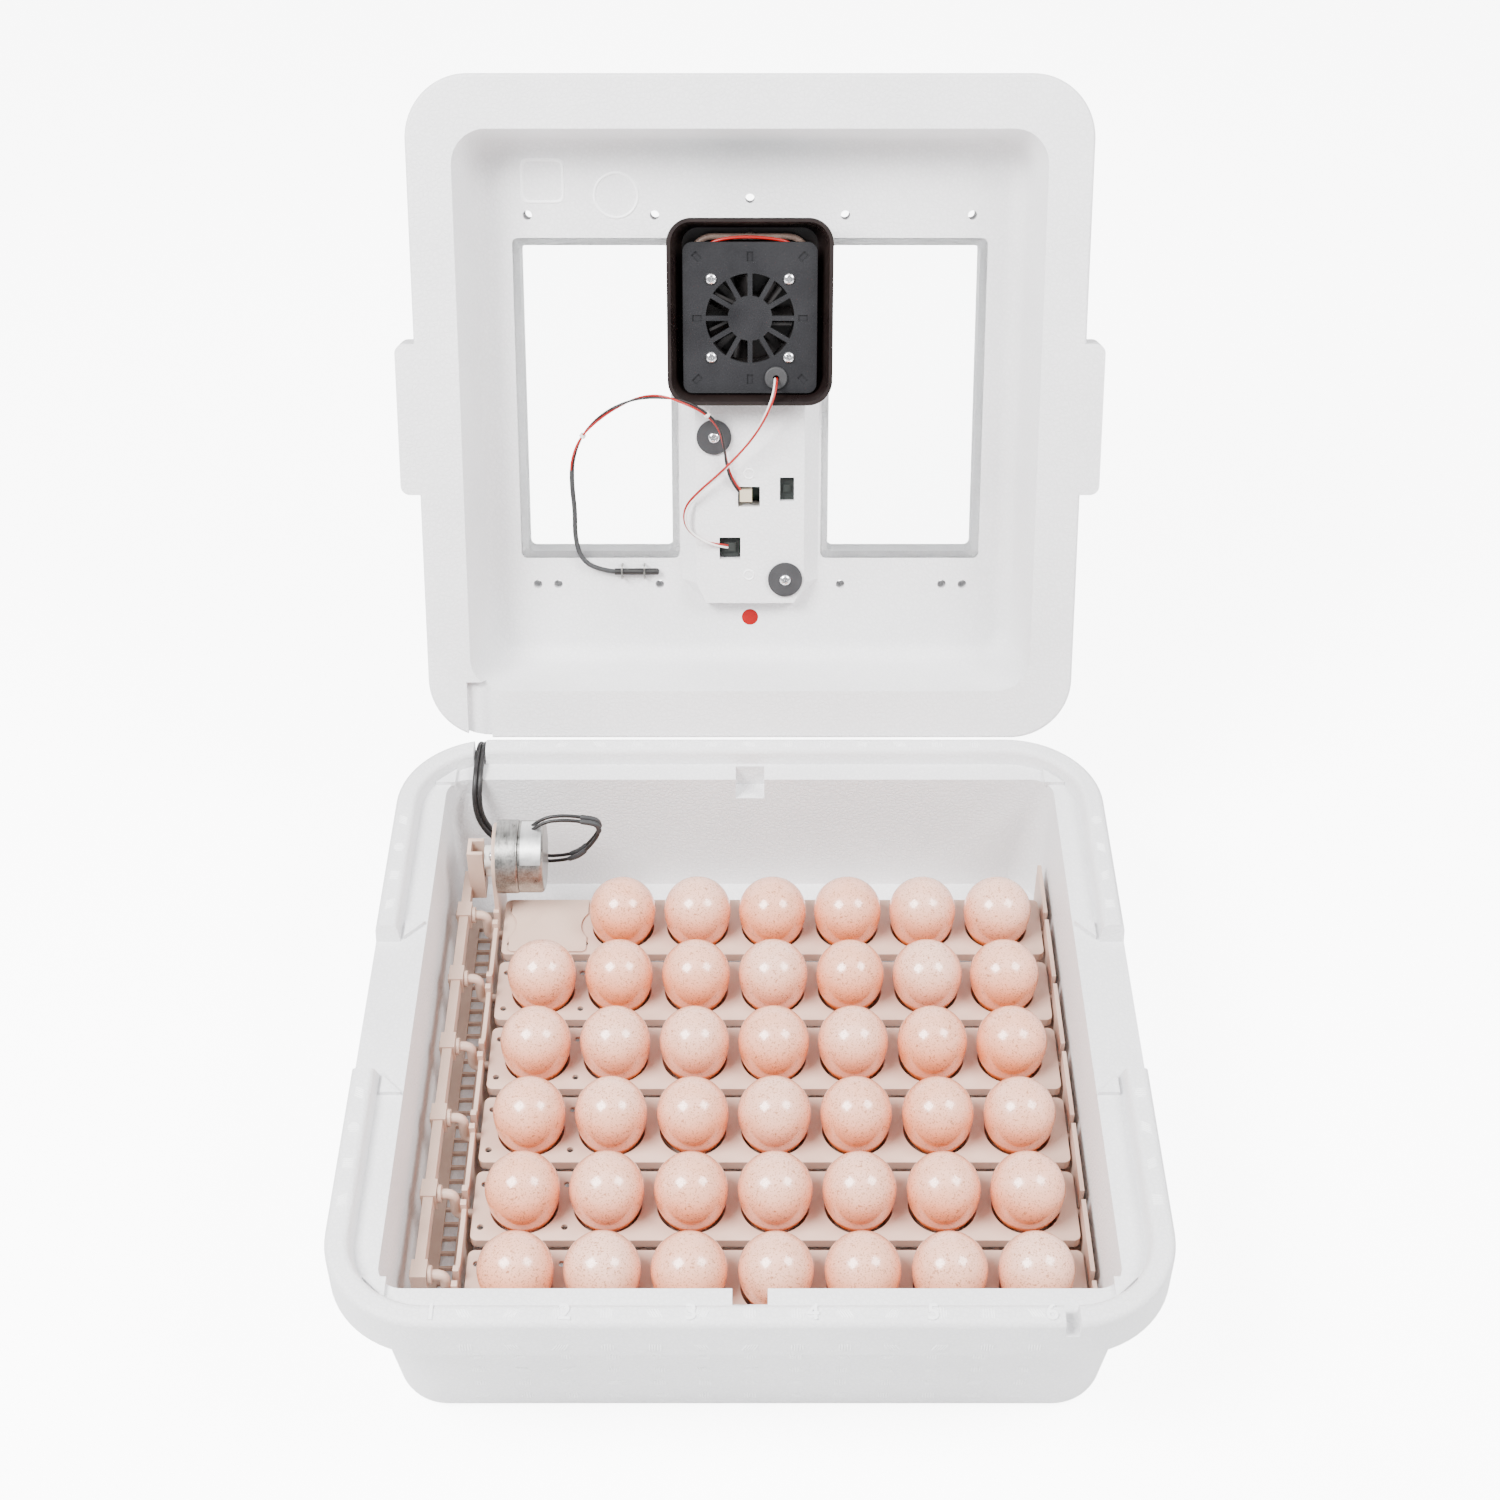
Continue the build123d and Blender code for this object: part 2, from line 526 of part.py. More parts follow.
def fan_screws():
    """Four screws through plate and fan frame into the housing's posts."""
    face = PLATE_Q + PLATE_T
    screws = []
    for x, s in fan_corners():
        head = fillet(disc(x, s, face, face + SCREW_HEAD_T, SCREW_HEAD_D).faces().sort_by(Axis.Z)[-1].edges(), 0.8)
        screws.append(head + disc(x, s, HOUSING_T + 0.5, face + 0.5, SCREW_D))
    return screws


def wire_grommet():
    """Rubber ring in the plate where the fan's lead comes out."""
    face = PLATE_Q + PLATE_T
    flange = fillet(disc(GROMMET_X, GROMMET_S, face, face + 2.2, GROMMET_D).faces().sort_by(Axis.Z)[-1].edges(), 0.9)
    ring = flange + disc(GROMMET_X, GROMMET_S, PLATE_Q, face + 0.5, GROMMET_NECK_D)
    return ring - disc(GROMMET_X, GROMMET_S, PLATE_Q - 1, face + 3, LEAD_D + 1.2)


# ---------------------------------------------------------------- control box, in the lid frame
def box_base():
    """Open tray of the control box, with openings that line up with those in the foam."""
    outer = extrude(Pos(0, POCKET_S, COVER_Q) * RectangleRounded(BOX_W, BOX_L, BOX_R), BOX_BASE_H)
    inner = RectangleRounded(BOX_W - 2 * BOX_T, BOX_L - 2 * BOX_T, BOX_R - BOX_T)
    base = outer - extrude(Pos(0, POCKET_S, COVER_Q - 1) * inner, BOX_BASE_H - BOX_T + 1)
    for x, s, width, length in (PEEK_SENSOR, PEEK_HUMIDITY, PEEK_FAN):
        base -= slab(x - width / 2, x + width / 2, s - length / 2, s + length / 2, COVER_Q, POCKET_Q + 1)
    for x, s in WASHERS:
        base += disc(x, s, BOARD_Q, POCKET_Q - 0.5, 8)
        base -= disc(x, s, BOARD_Q + 1, POCKET_Q + 1, SCREW_D + 2 * SCREW_CLEAR)
    return base


def box_cover():
    """Outer half of the control box: display window opening, button holes and the mains inlet."""
    outer = extrude(Pos(0, POCKET_S, FACE_Q) * RectangleRounded(BOX_W, BOX_L, BOX_R), BOX_COVER_H)
    outer = fillet(outer.faces().sort_by(Axis.Z)[0].edges(), 2.5)
    inner = RectangleRounded(BOX_W - 2 * BOX_T, BOX_L - 2 * BOX_T, BOX_R - BOX_T)
    cover = outer - extrude(Pos(0, POCKET_S, FACE_Q + BOX_T) * inner, BOX_COVER_H)
    cover -= Pos(0, DISPLAY_S, FACE_Q) * Box(DISPLAY_W, DISPLAY_L, 4 * BOX_T)
    for k in (-1, 0, 1):
        cover -= disc(k * BUTTON_PITCH, BUTTON_S, FACE_Q - 1, FACE_Q + BOX_T + 1, BUTTON_D + 2 * BUTTON_CLEAR)
    return cover - disc(0, INLET_S, FACE_Q - 1, FACE_Q + BOX_T + 1, INLET_D)


def control_board():
    """Circuit board on the base's standoffs."""
    board = slab(-BOX_W / 2 + 4, BOX_W / 2 - 4, POCKET_S - BOX_L / 2 + 4, POCKET_S + BOX_L / 2 - 4,
                 BOARD_Q - BOARD_T, BOARD_Q)
    return board


def display_window():
    """Clear window let into the cover, with a small lip inside."""
    pane = Pos(0, DISPLAY_S, FACE_Q + BOX_T / 2) * Box(DISPLAY_W, DISPLAY_L, BOX_T)
    return pane + Pos(0, DISPLAY_S, FACE_Q + BOX_T + 0.6) * Box(DISPLAY_W + 4, DISPLAY_L + 4, 1.2)


def control_button(k):
    """Round push button with a flange behind the cover."""
    x = k * BUTTON_PITCH
    cap = disc(x, BUTTON_S, FACE_Q - 2.5, FACE_Q + BOX_T + 0.8, BUTTON_D)
    cap = fillet(cap.faces().sort_by(Axis.Z)[0].edges(), 0.8)
    return cap + disc(x, BUTTON_S, FACE_Q + BOX_T + 0.3, FACE_Q + BOX_T + 1.5, BUTTON_D + 3)


def power_inlet():
    """Round mains inlet socket in the cover."""
    barrel = disc(0, INLET_S, FACE_Q - 1, FACE_Q + BOX_T + 5, INLET_D - 0.1)
    flange = disc(0, INLET_S, FACE_Q - 1.5, FACE_Q, INLET_D + 4)
    return barrel + flange - disc(0, INLET_S, FACE_Q - 2, FACE_Q + BOX_T + 2, INLET_D - 3.5)


def box_washers():
    """Two large washers on the pad that clamp the control box through the foam."""
    holes = SCREW_D + 2 * SCREW_CLEAR
    return [disc(x, s, BOSS_H, BOSS_H + WASHER_T, WASHER_D) - disc(x, s, BOSS_H - 1, BOSS_H + 4, holes)
            for x, s in WASHERS]


def box_screws():
    """Their cross-head screws, threaded into the control box's base."""
    face = BOSS_H + WASHER_T
    screws = []
    for x, s in WASHERS:
        head = fillet(disc(x, s, face, face + SCREW_HEAD_T, SCREW_HEAD_D).faces().sort_by(Axis.Z)[-1].edges(), 0.8)
        screws.append(head + disc(x, s, BOARD_Q + 1.2, face + 0.5, SCREW_D))
    return screws


def board_part(opening, inset, low, high, chip):
    """A component that stands on the board in one of the openings, with a smaller block on its face."""
    x, s, width, length = opening
    block = slab(x - width / 2 + inset, x + width / 2 - inset, s - length / 2 + inset, s + length / 2 - inset, low, high)
    return block + Pos(x, s, high + chip[2] / 2) * Box(*chip)


def sensor_plug():
    """Small plug housing on the end of the sensor's lead, beside its opening."""
    x, s, width, length = PEEK_SENSOR
    return slab(x - width / 2 + 1.2, x + 2, s - 2.8, s + 5, BOARD_Q + 0.2, BOSS_H + 3)


# ---------------------------------------------------------------- leads on the lid
def sensor_probe():
    """Sensor tip in its sleeve, held along the ceiling."""
    end = SENSOR_ROUTE[-1]
    tip = disc(0, 0, 0, 30, PROBE_D)
    tip = fillet(tip.faces().sort_by(Axis.Z)[-1].edges(), 1.6)
    return Pos(*end) * Rot(0, 90, 0) * tip


def probe_clips():
    """Two wire staples pressed into the foam across the probe."""
    clips = []
    for x in (SENSOR_ROUTE[-1][0] + 5, SENSOR_ROUTE[-1][0] + 20):
        s, height = SENSOR_ROUTE[-1][1], SENSOR_ROUTE[-1][2] + PROBE_D / 2 + 0.6
        legs = [(x, s - 4.5, -6), (x, s - 4.5, height), (x, s + 4.5, height), (x, s + 4.5, -6)]
        path = FilletPolyline(*legs, radius=2)
        clips.append(sweep(Plane(origin=path @ 0, z_dir=path % 0) * Circle(0.6), path=path))
    return clips


def clip_holes():
    """Holes that the staples' legs leave in the foam."""
    holes = []
    for x in (SENSOR_ROUTE[-1][0] + 5, SENSOR_ROUTE[-1][0] + 20):
        for s in (SENSOR_ROUTE[-1][1] - 4.5, SENSOR_ROUTE[-1][1] + 4.5):
            holes.append(disc(x, s, -6.5, 1, 1.3))
    return holes


# ---------------------------------------------------------------- egg turner
def egg_tray():
    """One row: plate with skirt, seven tapered cups, right pin and left crank. Origin at the pivot."""
    top = TRAY_UP
    tray = extrude(Pos(0, 0, top - TRAY_SKIRT) * RectangleRounded(TRAY_L, TRAY_W, TRAY_R), TRAY_SKIRT)
    hollow = RectangleRounded(TRAY_L - 2 * TRAY_WALL, TRAY_W - 2 * TRAY_WALL, TRAY_R - TRAY_WALL)
    tray -= extrude(Pos(0, 0, top - TRAY_SKIRT - 1) * hollow, TRAY_SKIRT - TRAY_T + 1)
    low = top - CUP_DEPTH - CUP_WALL
    for x in COLUMN_X:
        tray += disc(x, 0, low, top, CUP_FOOT_D + 2 * CUP_WALL, CUP_D + 2 * CUP_WALL)
    for x in COLUMN_X:
        tray -= disc(x, 0, low + CUP_WALL, top, CUP_FOOT_D, CUP_D)
        tray -= disc(x, 0, low - 1, low + CUP_WALL + 1, CUP_DRAIN_D)
    for sx in (-1, 1):
        for sy in (-1, 1):
            tray -= disc(COLUMN_X[0] + sx * COLUMN_PITCH / 2, sy * 0.31 * TRAY_W, top - 3, top + 1, PEG_HOLE_D)
    end = TRAY_L / 2
    tray += rod_x(end - TRAY_WALL, end + RIGHT_GAP + RAIL_T, 0, 0, PIN_D)
    tray += slab(end - TRAY_WALL, end, -PIN_D, PIN_D, -PIN_D / 2 - 1, top - 1)
    tray += slab(-end, -end + TRAY_WALL, -PIN_D, PIN_D, -PIN_D / 2 - 1, top - 1)
    crank_x = -end - RAIL_GAP - RAIL_T - PIN_D / 2 - 2
    bar_x = BAR_X - MIDDLE_X - HEAD_W / 2
    path = FilletPolyline((-end + 0.5, 0, 0), (crank_x, 0, 0), (crank_x, 0, CRANK_L), (bar_x - 1, 0, CRANK_L),
                          radius=CRANK_BEND)
    tray += sweep(Plane(origin=path @ 0, z_dir=path % 0) * Circle(PIN_D / 2), path=path)
    collar = BAR_X - MIDDLE_X + HEAD_W / 2 + 0.3
    return tray + rod_x(collar, collar + COLLAR_T, 0, CRANK_L, COLLAR_D)


def tray_cover():
    """Blank cover over the first cup of the rear row, with a finger notch at each side."""
    plate = extrude(RectangleRounded(COVER_L, COVER_W, 3), COVER_T)
    for side in (-1, 1):
        plate -= disc(side * (COVER_L / 2 + 12), 0, -1, COVER_T + 1, 32)
    return Pos(MIDDLE_X + COLUMN_X[0], ROW_Y[0], TRAY_Z) * plate


def egg():
    """One egg, pointed end down: a round top, long flanks and a small round tip, turned about Z."""
    tip_z = EGG_TIP_R - EGG_POINT
    flank_r = (EGG_TIP_R ** 2 - EGG_R ** 2 - tip_z ** 2) / (2 * (EGG_TIP_R - EGG_R))
    lean = math.atan2(-tip_z, flank_r - EGG_R)
    meet = (EGG_R - flank_r + flank_r * math.cos(lean), -flank_r * math.sin(lean))
    belly = (EGG_R - flank_r + flank_r * math.cos(lean / 2), -flank_r * math.sin(lean / 2))
    nose = (EGG_TIP_R * math.cos((lean + math.pi / 2) / 2), tip_z - EGG_TIP_R * math.sin((lean + math.pi / 2) / 2))
    crown = EGG_R * math.sqrt(0.5)
    outline = [ThreePointArc((0, EGG_R), (crown, crown), (EGG_R, 0)), ThreePointArc((EGG_R, 0), belly, meet),
               ThreePointArc(meet, nose, (0, -EGG_POINT)), Line((0, -EGG_POINT), (0, EGG_R))]
    return revolve(Plane.XZ * make_face(outline), Axis.Z)


def eggs_of_row(k):
    """Eggs of one row; the covered cup of the rear row holds none."""
    one = egg()
    columns = COLUMN_X[1:] if k == 0 else COLUMN_X
    return [Pos(MIDDLE_X + x, ROW_Y[k], TRAY_Z + EGG_LIFT) * one for x in columns]


def pivot_slots(wall, x):
    """Open-topped bearing slots for the rows' pins, cut through a rail's wall."""
    wide = PIN_D + 2 * RUN_CLEAR
    for y in ROW_Y:
        wall -= rod_x(x - 6, x + 6, y, PIVOT_Z, wide)
        wall -= slab(x - 6, x + 6, y - wide / 2, y + wide / 2, PIVOT_Z, PIVOT_Z + 40)
    return wall


def left_rail():
    """Left rail: slotted wall with a lug at each pivot, laddered foot and the tower that holds the motor."""
    x1 = LEFT_RAIL_X
    x0 = x1 - RAIL_T
    low, high = FLOOR_T, FLOOR_T + RAIL_H
    rail = slab(x0, x1, RAIL_Y0, RAIL_Y1, low, high)
    for y in ROW_Y:
        rail += slab(x0 - 0.8, x1, y - 7, y + 7, PIVOT_Z - 8, high + RAIL_LUG)
    rail = pivot_slots(rail, (x0 + x1) / 2)
    rail += slab(x1 - LEFT_FOOT_W, x1, RAIL_Y0, RAIL_Y1, low, low + RAIL_FOOT_T)
    step = LADDER_L + LADDER_RIB
    count = int((RAIL_Y1 - RAIL_Y0 - 16) // step)
    for k in range(count):
        y = RAIL_Y0 + 8 + k * step
        rail -= slab(x1 - 18.5, x1 - 18.5 + LADDER_W, y, y + LADDER_L, low - 1, low + RAIL_FOOT_T + 1)
    rail += motor_tower(x0, x1, high)
    for y0 in (RAIL_Y0 + 2, RAIL_Y1 - CROSS_T - 2):
        rail -= slab(x1 - 1.2, x1 + 1, y0 - 0.1, y0 + CROSS_T + 0.1, low, low + CROSS_H)
    return rail


def motor_tower(x0, x1, low):
    """Upright plate on the rail's rear end with a clear hole for the motor's shaft."""
    half = GEARBOX_D / 2 - 2
    tower = slab(x0, x1, MOTOR_Y - half, RAIL_Y1, low - 10, MOTOR_Z)
    tower += rod_x(x0, x1, MOTOR_Y, MOTOR_Z, 2 * half)
    tower = tower - rod_x(x0 - 1, x1 + 1, MOTOR_Y, MOTOR_Z, SHAFT_D + 6)
    wide = CRANK_L + PIN_D
    return tower - slab(x0 - 1, x1 + 1, ROW_Y[0] - wide, ROW_Y[0] + PIN_D / 2 + RUN_CLEAR, low - 11, MOTOR_Z - half)


def right_rail():
    """Right rail: two thin walls with bearing slots for the rows' plain pins, and a narrow foot."""
    x0 = RIGHT_RAIL_X
    x1 = x0 + RAIL_T
    low, high = FLOOR_T, FLOOR_T + RAIL_H
    rail = pivot_slots(slab(x0, x1, RAIL_Y0, RAIL_Y1, low, high + RAIL_LUG), (x0 + x1) / 2)
    rail += slab(x1 - RIGHT_FOOT_W, x1, RAIL_Y0, RAIL_Y1, low, low + RAIL_FOOT_T)
    for y0 in (RAIL_Y0 + 2, RAIL_Y1 - CROSS_T - 2):
        rail -= slab(x1 - RIGHT_FOOT_W - 1, x0 + 1.2, y0 - 0.1, y0 + CROSS_T + 0.1, low, low + CROSS_H)
    return rail


def cross_bars():
    """Front and rear bars that join the two rails."""
    return [slab(LEFT_RAIL_X - 1.2, RIGHT_RAIL_X + 1.2, y0, y0 + CROSS_T, FLOOR_T, FLOOR_T + CROSS_H)
            for y0 in (RAIL_Y0 + 2, RAIL_Y1 - CROSS_T - 2)]


def drive_bar():
    """Bar that links the six cranks, with a bearing head at each, and the motor's yoke at its rear end."""
    x0, x1 = BAR_X - BAR_W / 2, BAR_X + BAR_W / 2
    bar = slab(x0, x1, ROW_Y[-1] - HEAD_L / 2, MOTOR_Y, BAR_Z - BAR_H / 2, BAR_Z + BAR_H / 2)
    for y in ROW_Y:
        head = slab(BAR_X - HEAD_W / 2, BAR_X + HEAD_W / 2, y - HEAD_L / 2, y + HEAD_L / 2,
                    BAR_Z - HEAD_H / 2, BAR_Z + HEAD_H / 2)
        bar += head
    for y in ROW_Y:
        bar -= rod_x(BAR_X - HEAD_W, BAR_X + HEAD_W, y, BAR_Z, PIN_D + 2 * RUN_CLEAR)
    y0, y1 = MOTOR_Y - YOKE_W / 2, MOTOR_Y + YOKE_W / 2
    bar += slab(x0, YOKE_X1, y0, y1, BAR_Z - BAR_H / 2, BAR_Z + BAR_H / 2)
    bar += slab(YOKE_X0, YOKE_X1, y0, y1, BAR_Z, YOKE_TOP)
    return bar - slab(YOKE_X0 + 2.4, YOKE_X1 + 1, MOTOR_Y - YOKE_SLOT / 2, MOTOR_Y + YOKE_SLOT / 2, YOKE_FLOOR, YOKE_TOP + 1)


def motor_crank():
    """Crank on the motor's shaft; its pin works in the yoke."""
    hub_x1 = LEFT_RAIL_X - RAIL_T - 0.4
    hub_x0 = hub_x1 - HUB_T
    crank = rod_x(hub_x0, hub_x1, MOTOR_Y, MOTOR_Z, HUB_D)
    crank += slab(hub_x0, hub_x1, MOTOR_Y - 4.5, MOTOR_Y + 4.5, MOTOR_Z - MOTOR_THROW, MOTOR_Z)
    crank += rod_x(hub_x0, hub_x1, MOTOR_Y, MOTOR_Z - MOTOR_THROW, 9)
    crank += rod_x(YOKE_X0 + 3.5, hub_x0 + 1, MOTOR_Y, MOTOR_Z - MOTOR_THROW, MOTOR_PIN_D)
    return crank + rod_x(hub_x1 - 1, LEFT_RAIL_X + 6, MOTOR_Y, MOTOR_Z, SHAFT_D)


def motor_gearbox():
    """Flat gearbox on the tower, with two screw ears."""
    x0 = LEFT_RAIL_X
    box = rod_x(x0, x0 + GEARBOX_T, MOTOR_Y, MOTOR_Z, GEARBOX_D)
    box = fillet(box.faces().sort_by(Axis.X)[-1].edges(), 2)
    return box - rod_x(x0 - 1, x0 + 7, MOTOR_Y, MOTOR_Z, SHAFT_D + 2 * RUN_CLEAR)


def motor_can():
    """Drawn motor can behind the gearbox."""
    x0 = LEFT_RAIL_X + GEARBOX_T
    can = rod_x(x0, x0 + CAN_T, MOTOR_Y, MOTOR_Z, CAN_D)
    return fillet(can.faces().sort_by(Axis.X)[-1].edges(), 3)


def motor_screws():
    """Two screws that hold the gearbox on the tower."""
    x = LEFT_RAIL_X - RAIL_T
    return [rod_x(x - 1.8, x, MOTOR_Y + dy, MOTOR_Z + 13, 6) for dy in (-13, 13)]


def cord_coil():
    """Put-away length of the turner's cord, as one closed ring."""
    ring = disc(*COIL, 0.2, COIL_H, COIL_OUT_D) - disc(*COIL, -1, COIL_H + 1, COIL_IN_D)
    return ring


def cord_plug():
    """Two-pin plug lying on the floor beside the coil."""
    width, height, length = PLUG_BODY
    x, y = COIL[0] + COIL_OUT_D / 2 + 8 + width / 2, COIL[1] + 6
    body = Pos(x, y, height / 2) * Box(width, length, height)
    body = fillet(body.edges().filter_by(Axis.Y), 5)
    for side in (-1, 1):
        body += Pos(x + side * 6.35, y + length / 2 + 8, height / 2) * Box(1.5, 17, 6.3)
    return body


# ---------------------------------------------------------------- assembly
def lean_pole():
    """The line (y, z) about which the lid's rear edge goes from the seat to its place on the ledge."""
    swing = math.radians(90 + OPEN_LEAN)
    y0, z0 = LID_W / 2, LID_Z
    y1, z1 = RIM_W / 2 - LEAN_INSET, TUB_H + LEAN_LIFT
    back = 1 / (2 * math.tan(swing / 2))
    return (y0 + y1) / 2 + (z1 - z0) * back, (z0 + z1) / 2 - (y1 - y0) * back


def open_lid(shapes):
    """Moves shapes from the lid frame to the lid's open place."""
    y, z = lean_pole()
    closed = Pos(0, LID_W / 2, CEILING_Z) * Rot(180, 0, 0)
    swing = Pos(0, y, z) * Rot(-90 - OPEN_LEAN, 0, 0) * Pos(0, -y, -z)
    if isinstance(shapes, list):
        return [swing * closed * shape for shape in shapes]
    return swing * closed * shapes


def tub_nodes():
    """The tub and everything of the turner that stays still in it."""
    return {
        "base_shell": base_shell(),
        "turner_left_rail": left_rail(),
        "turner_right_rail": right_rail(),
        "turner_cross_bars": cross_bars(),
        "motor_gearbox": motor_gearbox(),
        "motor_can": motor_can(),
        "motor_screws": motor_screws(),
        "turner_cord": cord_tube(CORD_ROUTE, CORD_D, "turner_cord"),
        "turner_cord_coil": cord_coil(),
        "turner_cord_plug": cord_plug(),
    }


def turner_nodes():
    """The moving parts of the turner, with the eggs that ride in it."""
    nodes = {"drive_bar": drive_bar(), "motor_crank": motor_crank(), "tray_cover": tray_cover()}
    tray = egg_tray()
    for k, y in enumerate(ROW_Y):
        nodes[f"tray_{k + 1}"] = Pos(MIDDLE_X, y, PIVOT_Z) * tray
        nodes[f"eggs_{k + 1}"] = eggs_of_row(k)
    return nodes


def lid_nodes():
    """Everything that the lid carries, in the lid frame."""
    shell = lid_shell()
    for hole in clip_holes():
        shell -= hole
    nodes = {
        "lid_shell": shell,
        "window_left": window_pane(-1),
        "window_right": window_pane(1),
        "vent_plug": vent_plug(),
        "heater_housing": heater_housing(),
        "heater_loop": heater_loop(),
        "heater_lead": cord_tube(HEATER_LEAD_ROUTE, 2.0, "heater_lead"),
        "fan_frame": fan_frame(),
        "fan_impeller": fan_impeller(),
        "fan_plate": fan_plate(),
        "fan_screws": fan_screws(),
        "wire_grommet": wire_grommet(),
        "control_box_base": box_base(),
        "control_box_cover": box_cover(),
        "control_board": control_board(),
        "display_window": display_window(),
        "power_inlet": power_inlet(),
        "control_box_washers": box_washers(),
        "control_box_screws": box_screws(),
        "humidity_sensor": board_part(PEEK_HUMIDITY, 0.4, BOARD_Q, 7.0, (5, 5, 1.4)),
        "fan_socket": board_part(PEEK_FAN, 1.0, BOARD_Q, 6.0, (8, 6, 2)),
        "sensor_plug": sensor_plug(),
        "sensor_lead": cord_tube(SENSOR_ROUTE, LEAD_D, "sensor_lead"),
        "sensor_probe": sensor_probe(),
        "probe_clips": probe_clips(),
        "fan_lead": cord_tube(FAN_ROUTE, LEAD_D, "fan_lead"),
    }
    for k in (-1, 0, 1):
        nodes[f"control_button_{k + 2}"] = control_button(k)
    return nodes


def main():
    """Builds every node and writes it to its own STEP file."""
    os.makedirs("parts", exist_ok=True)
    nodes = {**tub_nodes(), **turner_nodes()}
    nodes.update({name: open_lid(shape) for name, shape in lid_nodes().items()})
    y, z = lean_pole()
    print(f"lid turns about y {y:.3f}, z {z:.3f}; rows tilt {TILT:.2f} degrees each way; {len(nodes)} nodes")
    for name, shape in nodes.items():
        export_step(Compound(children=shape) if isinstance(shape, list) else shape, f"parts/{name}.step")


main()
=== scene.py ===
import logging
import math
from dataclasses import dataclass, field
from enum import Enum

import bmesh
import bpy
import numpy as np
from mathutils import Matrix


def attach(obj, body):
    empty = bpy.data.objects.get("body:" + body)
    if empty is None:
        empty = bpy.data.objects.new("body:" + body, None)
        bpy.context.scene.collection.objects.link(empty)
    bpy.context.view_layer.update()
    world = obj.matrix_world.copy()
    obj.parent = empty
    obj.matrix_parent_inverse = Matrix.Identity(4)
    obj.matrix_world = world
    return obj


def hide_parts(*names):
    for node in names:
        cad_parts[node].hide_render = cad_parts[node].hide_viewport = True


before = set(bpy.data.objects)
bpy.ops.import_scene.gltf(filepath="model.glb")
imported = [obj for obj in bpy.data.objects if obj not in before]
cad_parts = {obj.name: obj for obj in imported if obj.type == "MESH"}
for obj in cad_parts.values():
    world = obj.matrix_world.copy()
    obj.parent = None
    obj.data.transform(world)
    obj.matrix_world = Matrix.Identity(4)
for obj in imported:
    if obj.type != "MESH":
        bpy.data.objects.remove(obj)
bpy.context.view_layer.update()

LOG = logging.getLogger("incubator")
MM = 0.001
SEED = 41


# ---------------------------------------------------------------- node trees
class Tree:
    """Lays down and joins the nodes of one material or one shared effect."""

    def __init__(self, tree: bpy.types.NodeTree) -> None:
        """Keeps the node tree that the calls work on."""
        self.tree = tree

    def node(self, kind: str, inputs: dict | None = None, **settings: object) -> bpy.types.Node:
        """Adds one node.

        Args:
            kind: the node's type, without the leading ShaderNode.
            inputs: socket name or number to a plain value or to another node's output.
            settings: the node's own properties.

        Returns:
            The new node.
        """
        made = self.tree.nodes.new("ShaderNode" + kind)
        for name, value in settings.items():
            setattr(made, name, value)
        for name, value in (inputs or {}).items():
            if isinstance(value, bpy.types.NodeSocket):
                self.tree.links.new(value, made.inputs[name])
            else:
                made.inputs[name].default_value = value
        return made

    def ramp(self, value: bpy.types.NodeSocket, low: float, high: float,
             start: float = 0.0, end: float = 1.0) -> bpy.types.NodeSocket:
        """Stretches a value that runs from low to high so that it runs from start to end.

        Args:
            value: the socket to stretch.
            low: the value that becomes start.
            high: the value that becomes end.
            start: result at low.
            end: result at high.

        Returns:
            The stretched value's socket.
        """
        return self.node("MapRange", {"Value": value, "From Min": low, "From Max": high,
                                      "To Min": start, "To Max": end}).outputs[0]

    def blend(self, amount: bpy.types.NodeSocket, low: tuple, high: tuple) -> bpy.types.NodeSocket:
        """Mixes two colours, either of them plain or another node's output.

        Args:
            amount: 0 for the first colour, 1 for the second.
            low: first colour.
            high: second colour.

        Returns:
            The mixed colour's socket.
        """
        mix = self.node("Mix", {0: amount}, data_type="RGBA")
        for slot, value in ((6, low), (7, high)):
            if isinstance(value, bpy.types.NodeSocket):
                self.tree.links.new(value, mix.inputs[slot])
            else:
                mix.inputs[slot].default_value = (*value, 1.0)
        return mix.outputs[2]


def effect(name: str, inputs: dict[str, float],
           outputs: tuple[str, ...]) -> tuple[bpy.types.NodeTree, Tree, dict]:
    """Starts a shared effect: a node group with named number sockets.

    Args:
        name: the group's name.
        inputs: input names and their usual values.
        outputs: output names.

    Returns:
        The group, its tree, and a dictionary of the sockets to read from inside by input name, with the
        group's output node under "out".
    """
    group = bpy.data.node_groups.new(name, "ShaderNodeTree")
    for label, value in inputs.items():
        socket = group.interface.new_socket(label, in_out="INPUT", socket_type="NodeSocketFloat")
        socket.default_value = value
    for label in outputs:
        group.interface.new_socket(label, in_out="OUTPUT", socket_type="NodeSocketFloat")
    source, sink = group.nodes.new("NodeGroupInput"), group.nodes.new("NodeGroupOutput")
    return group, Tree(group), {**{label: source.outputs[label] for label in inputs}, "out": sink}


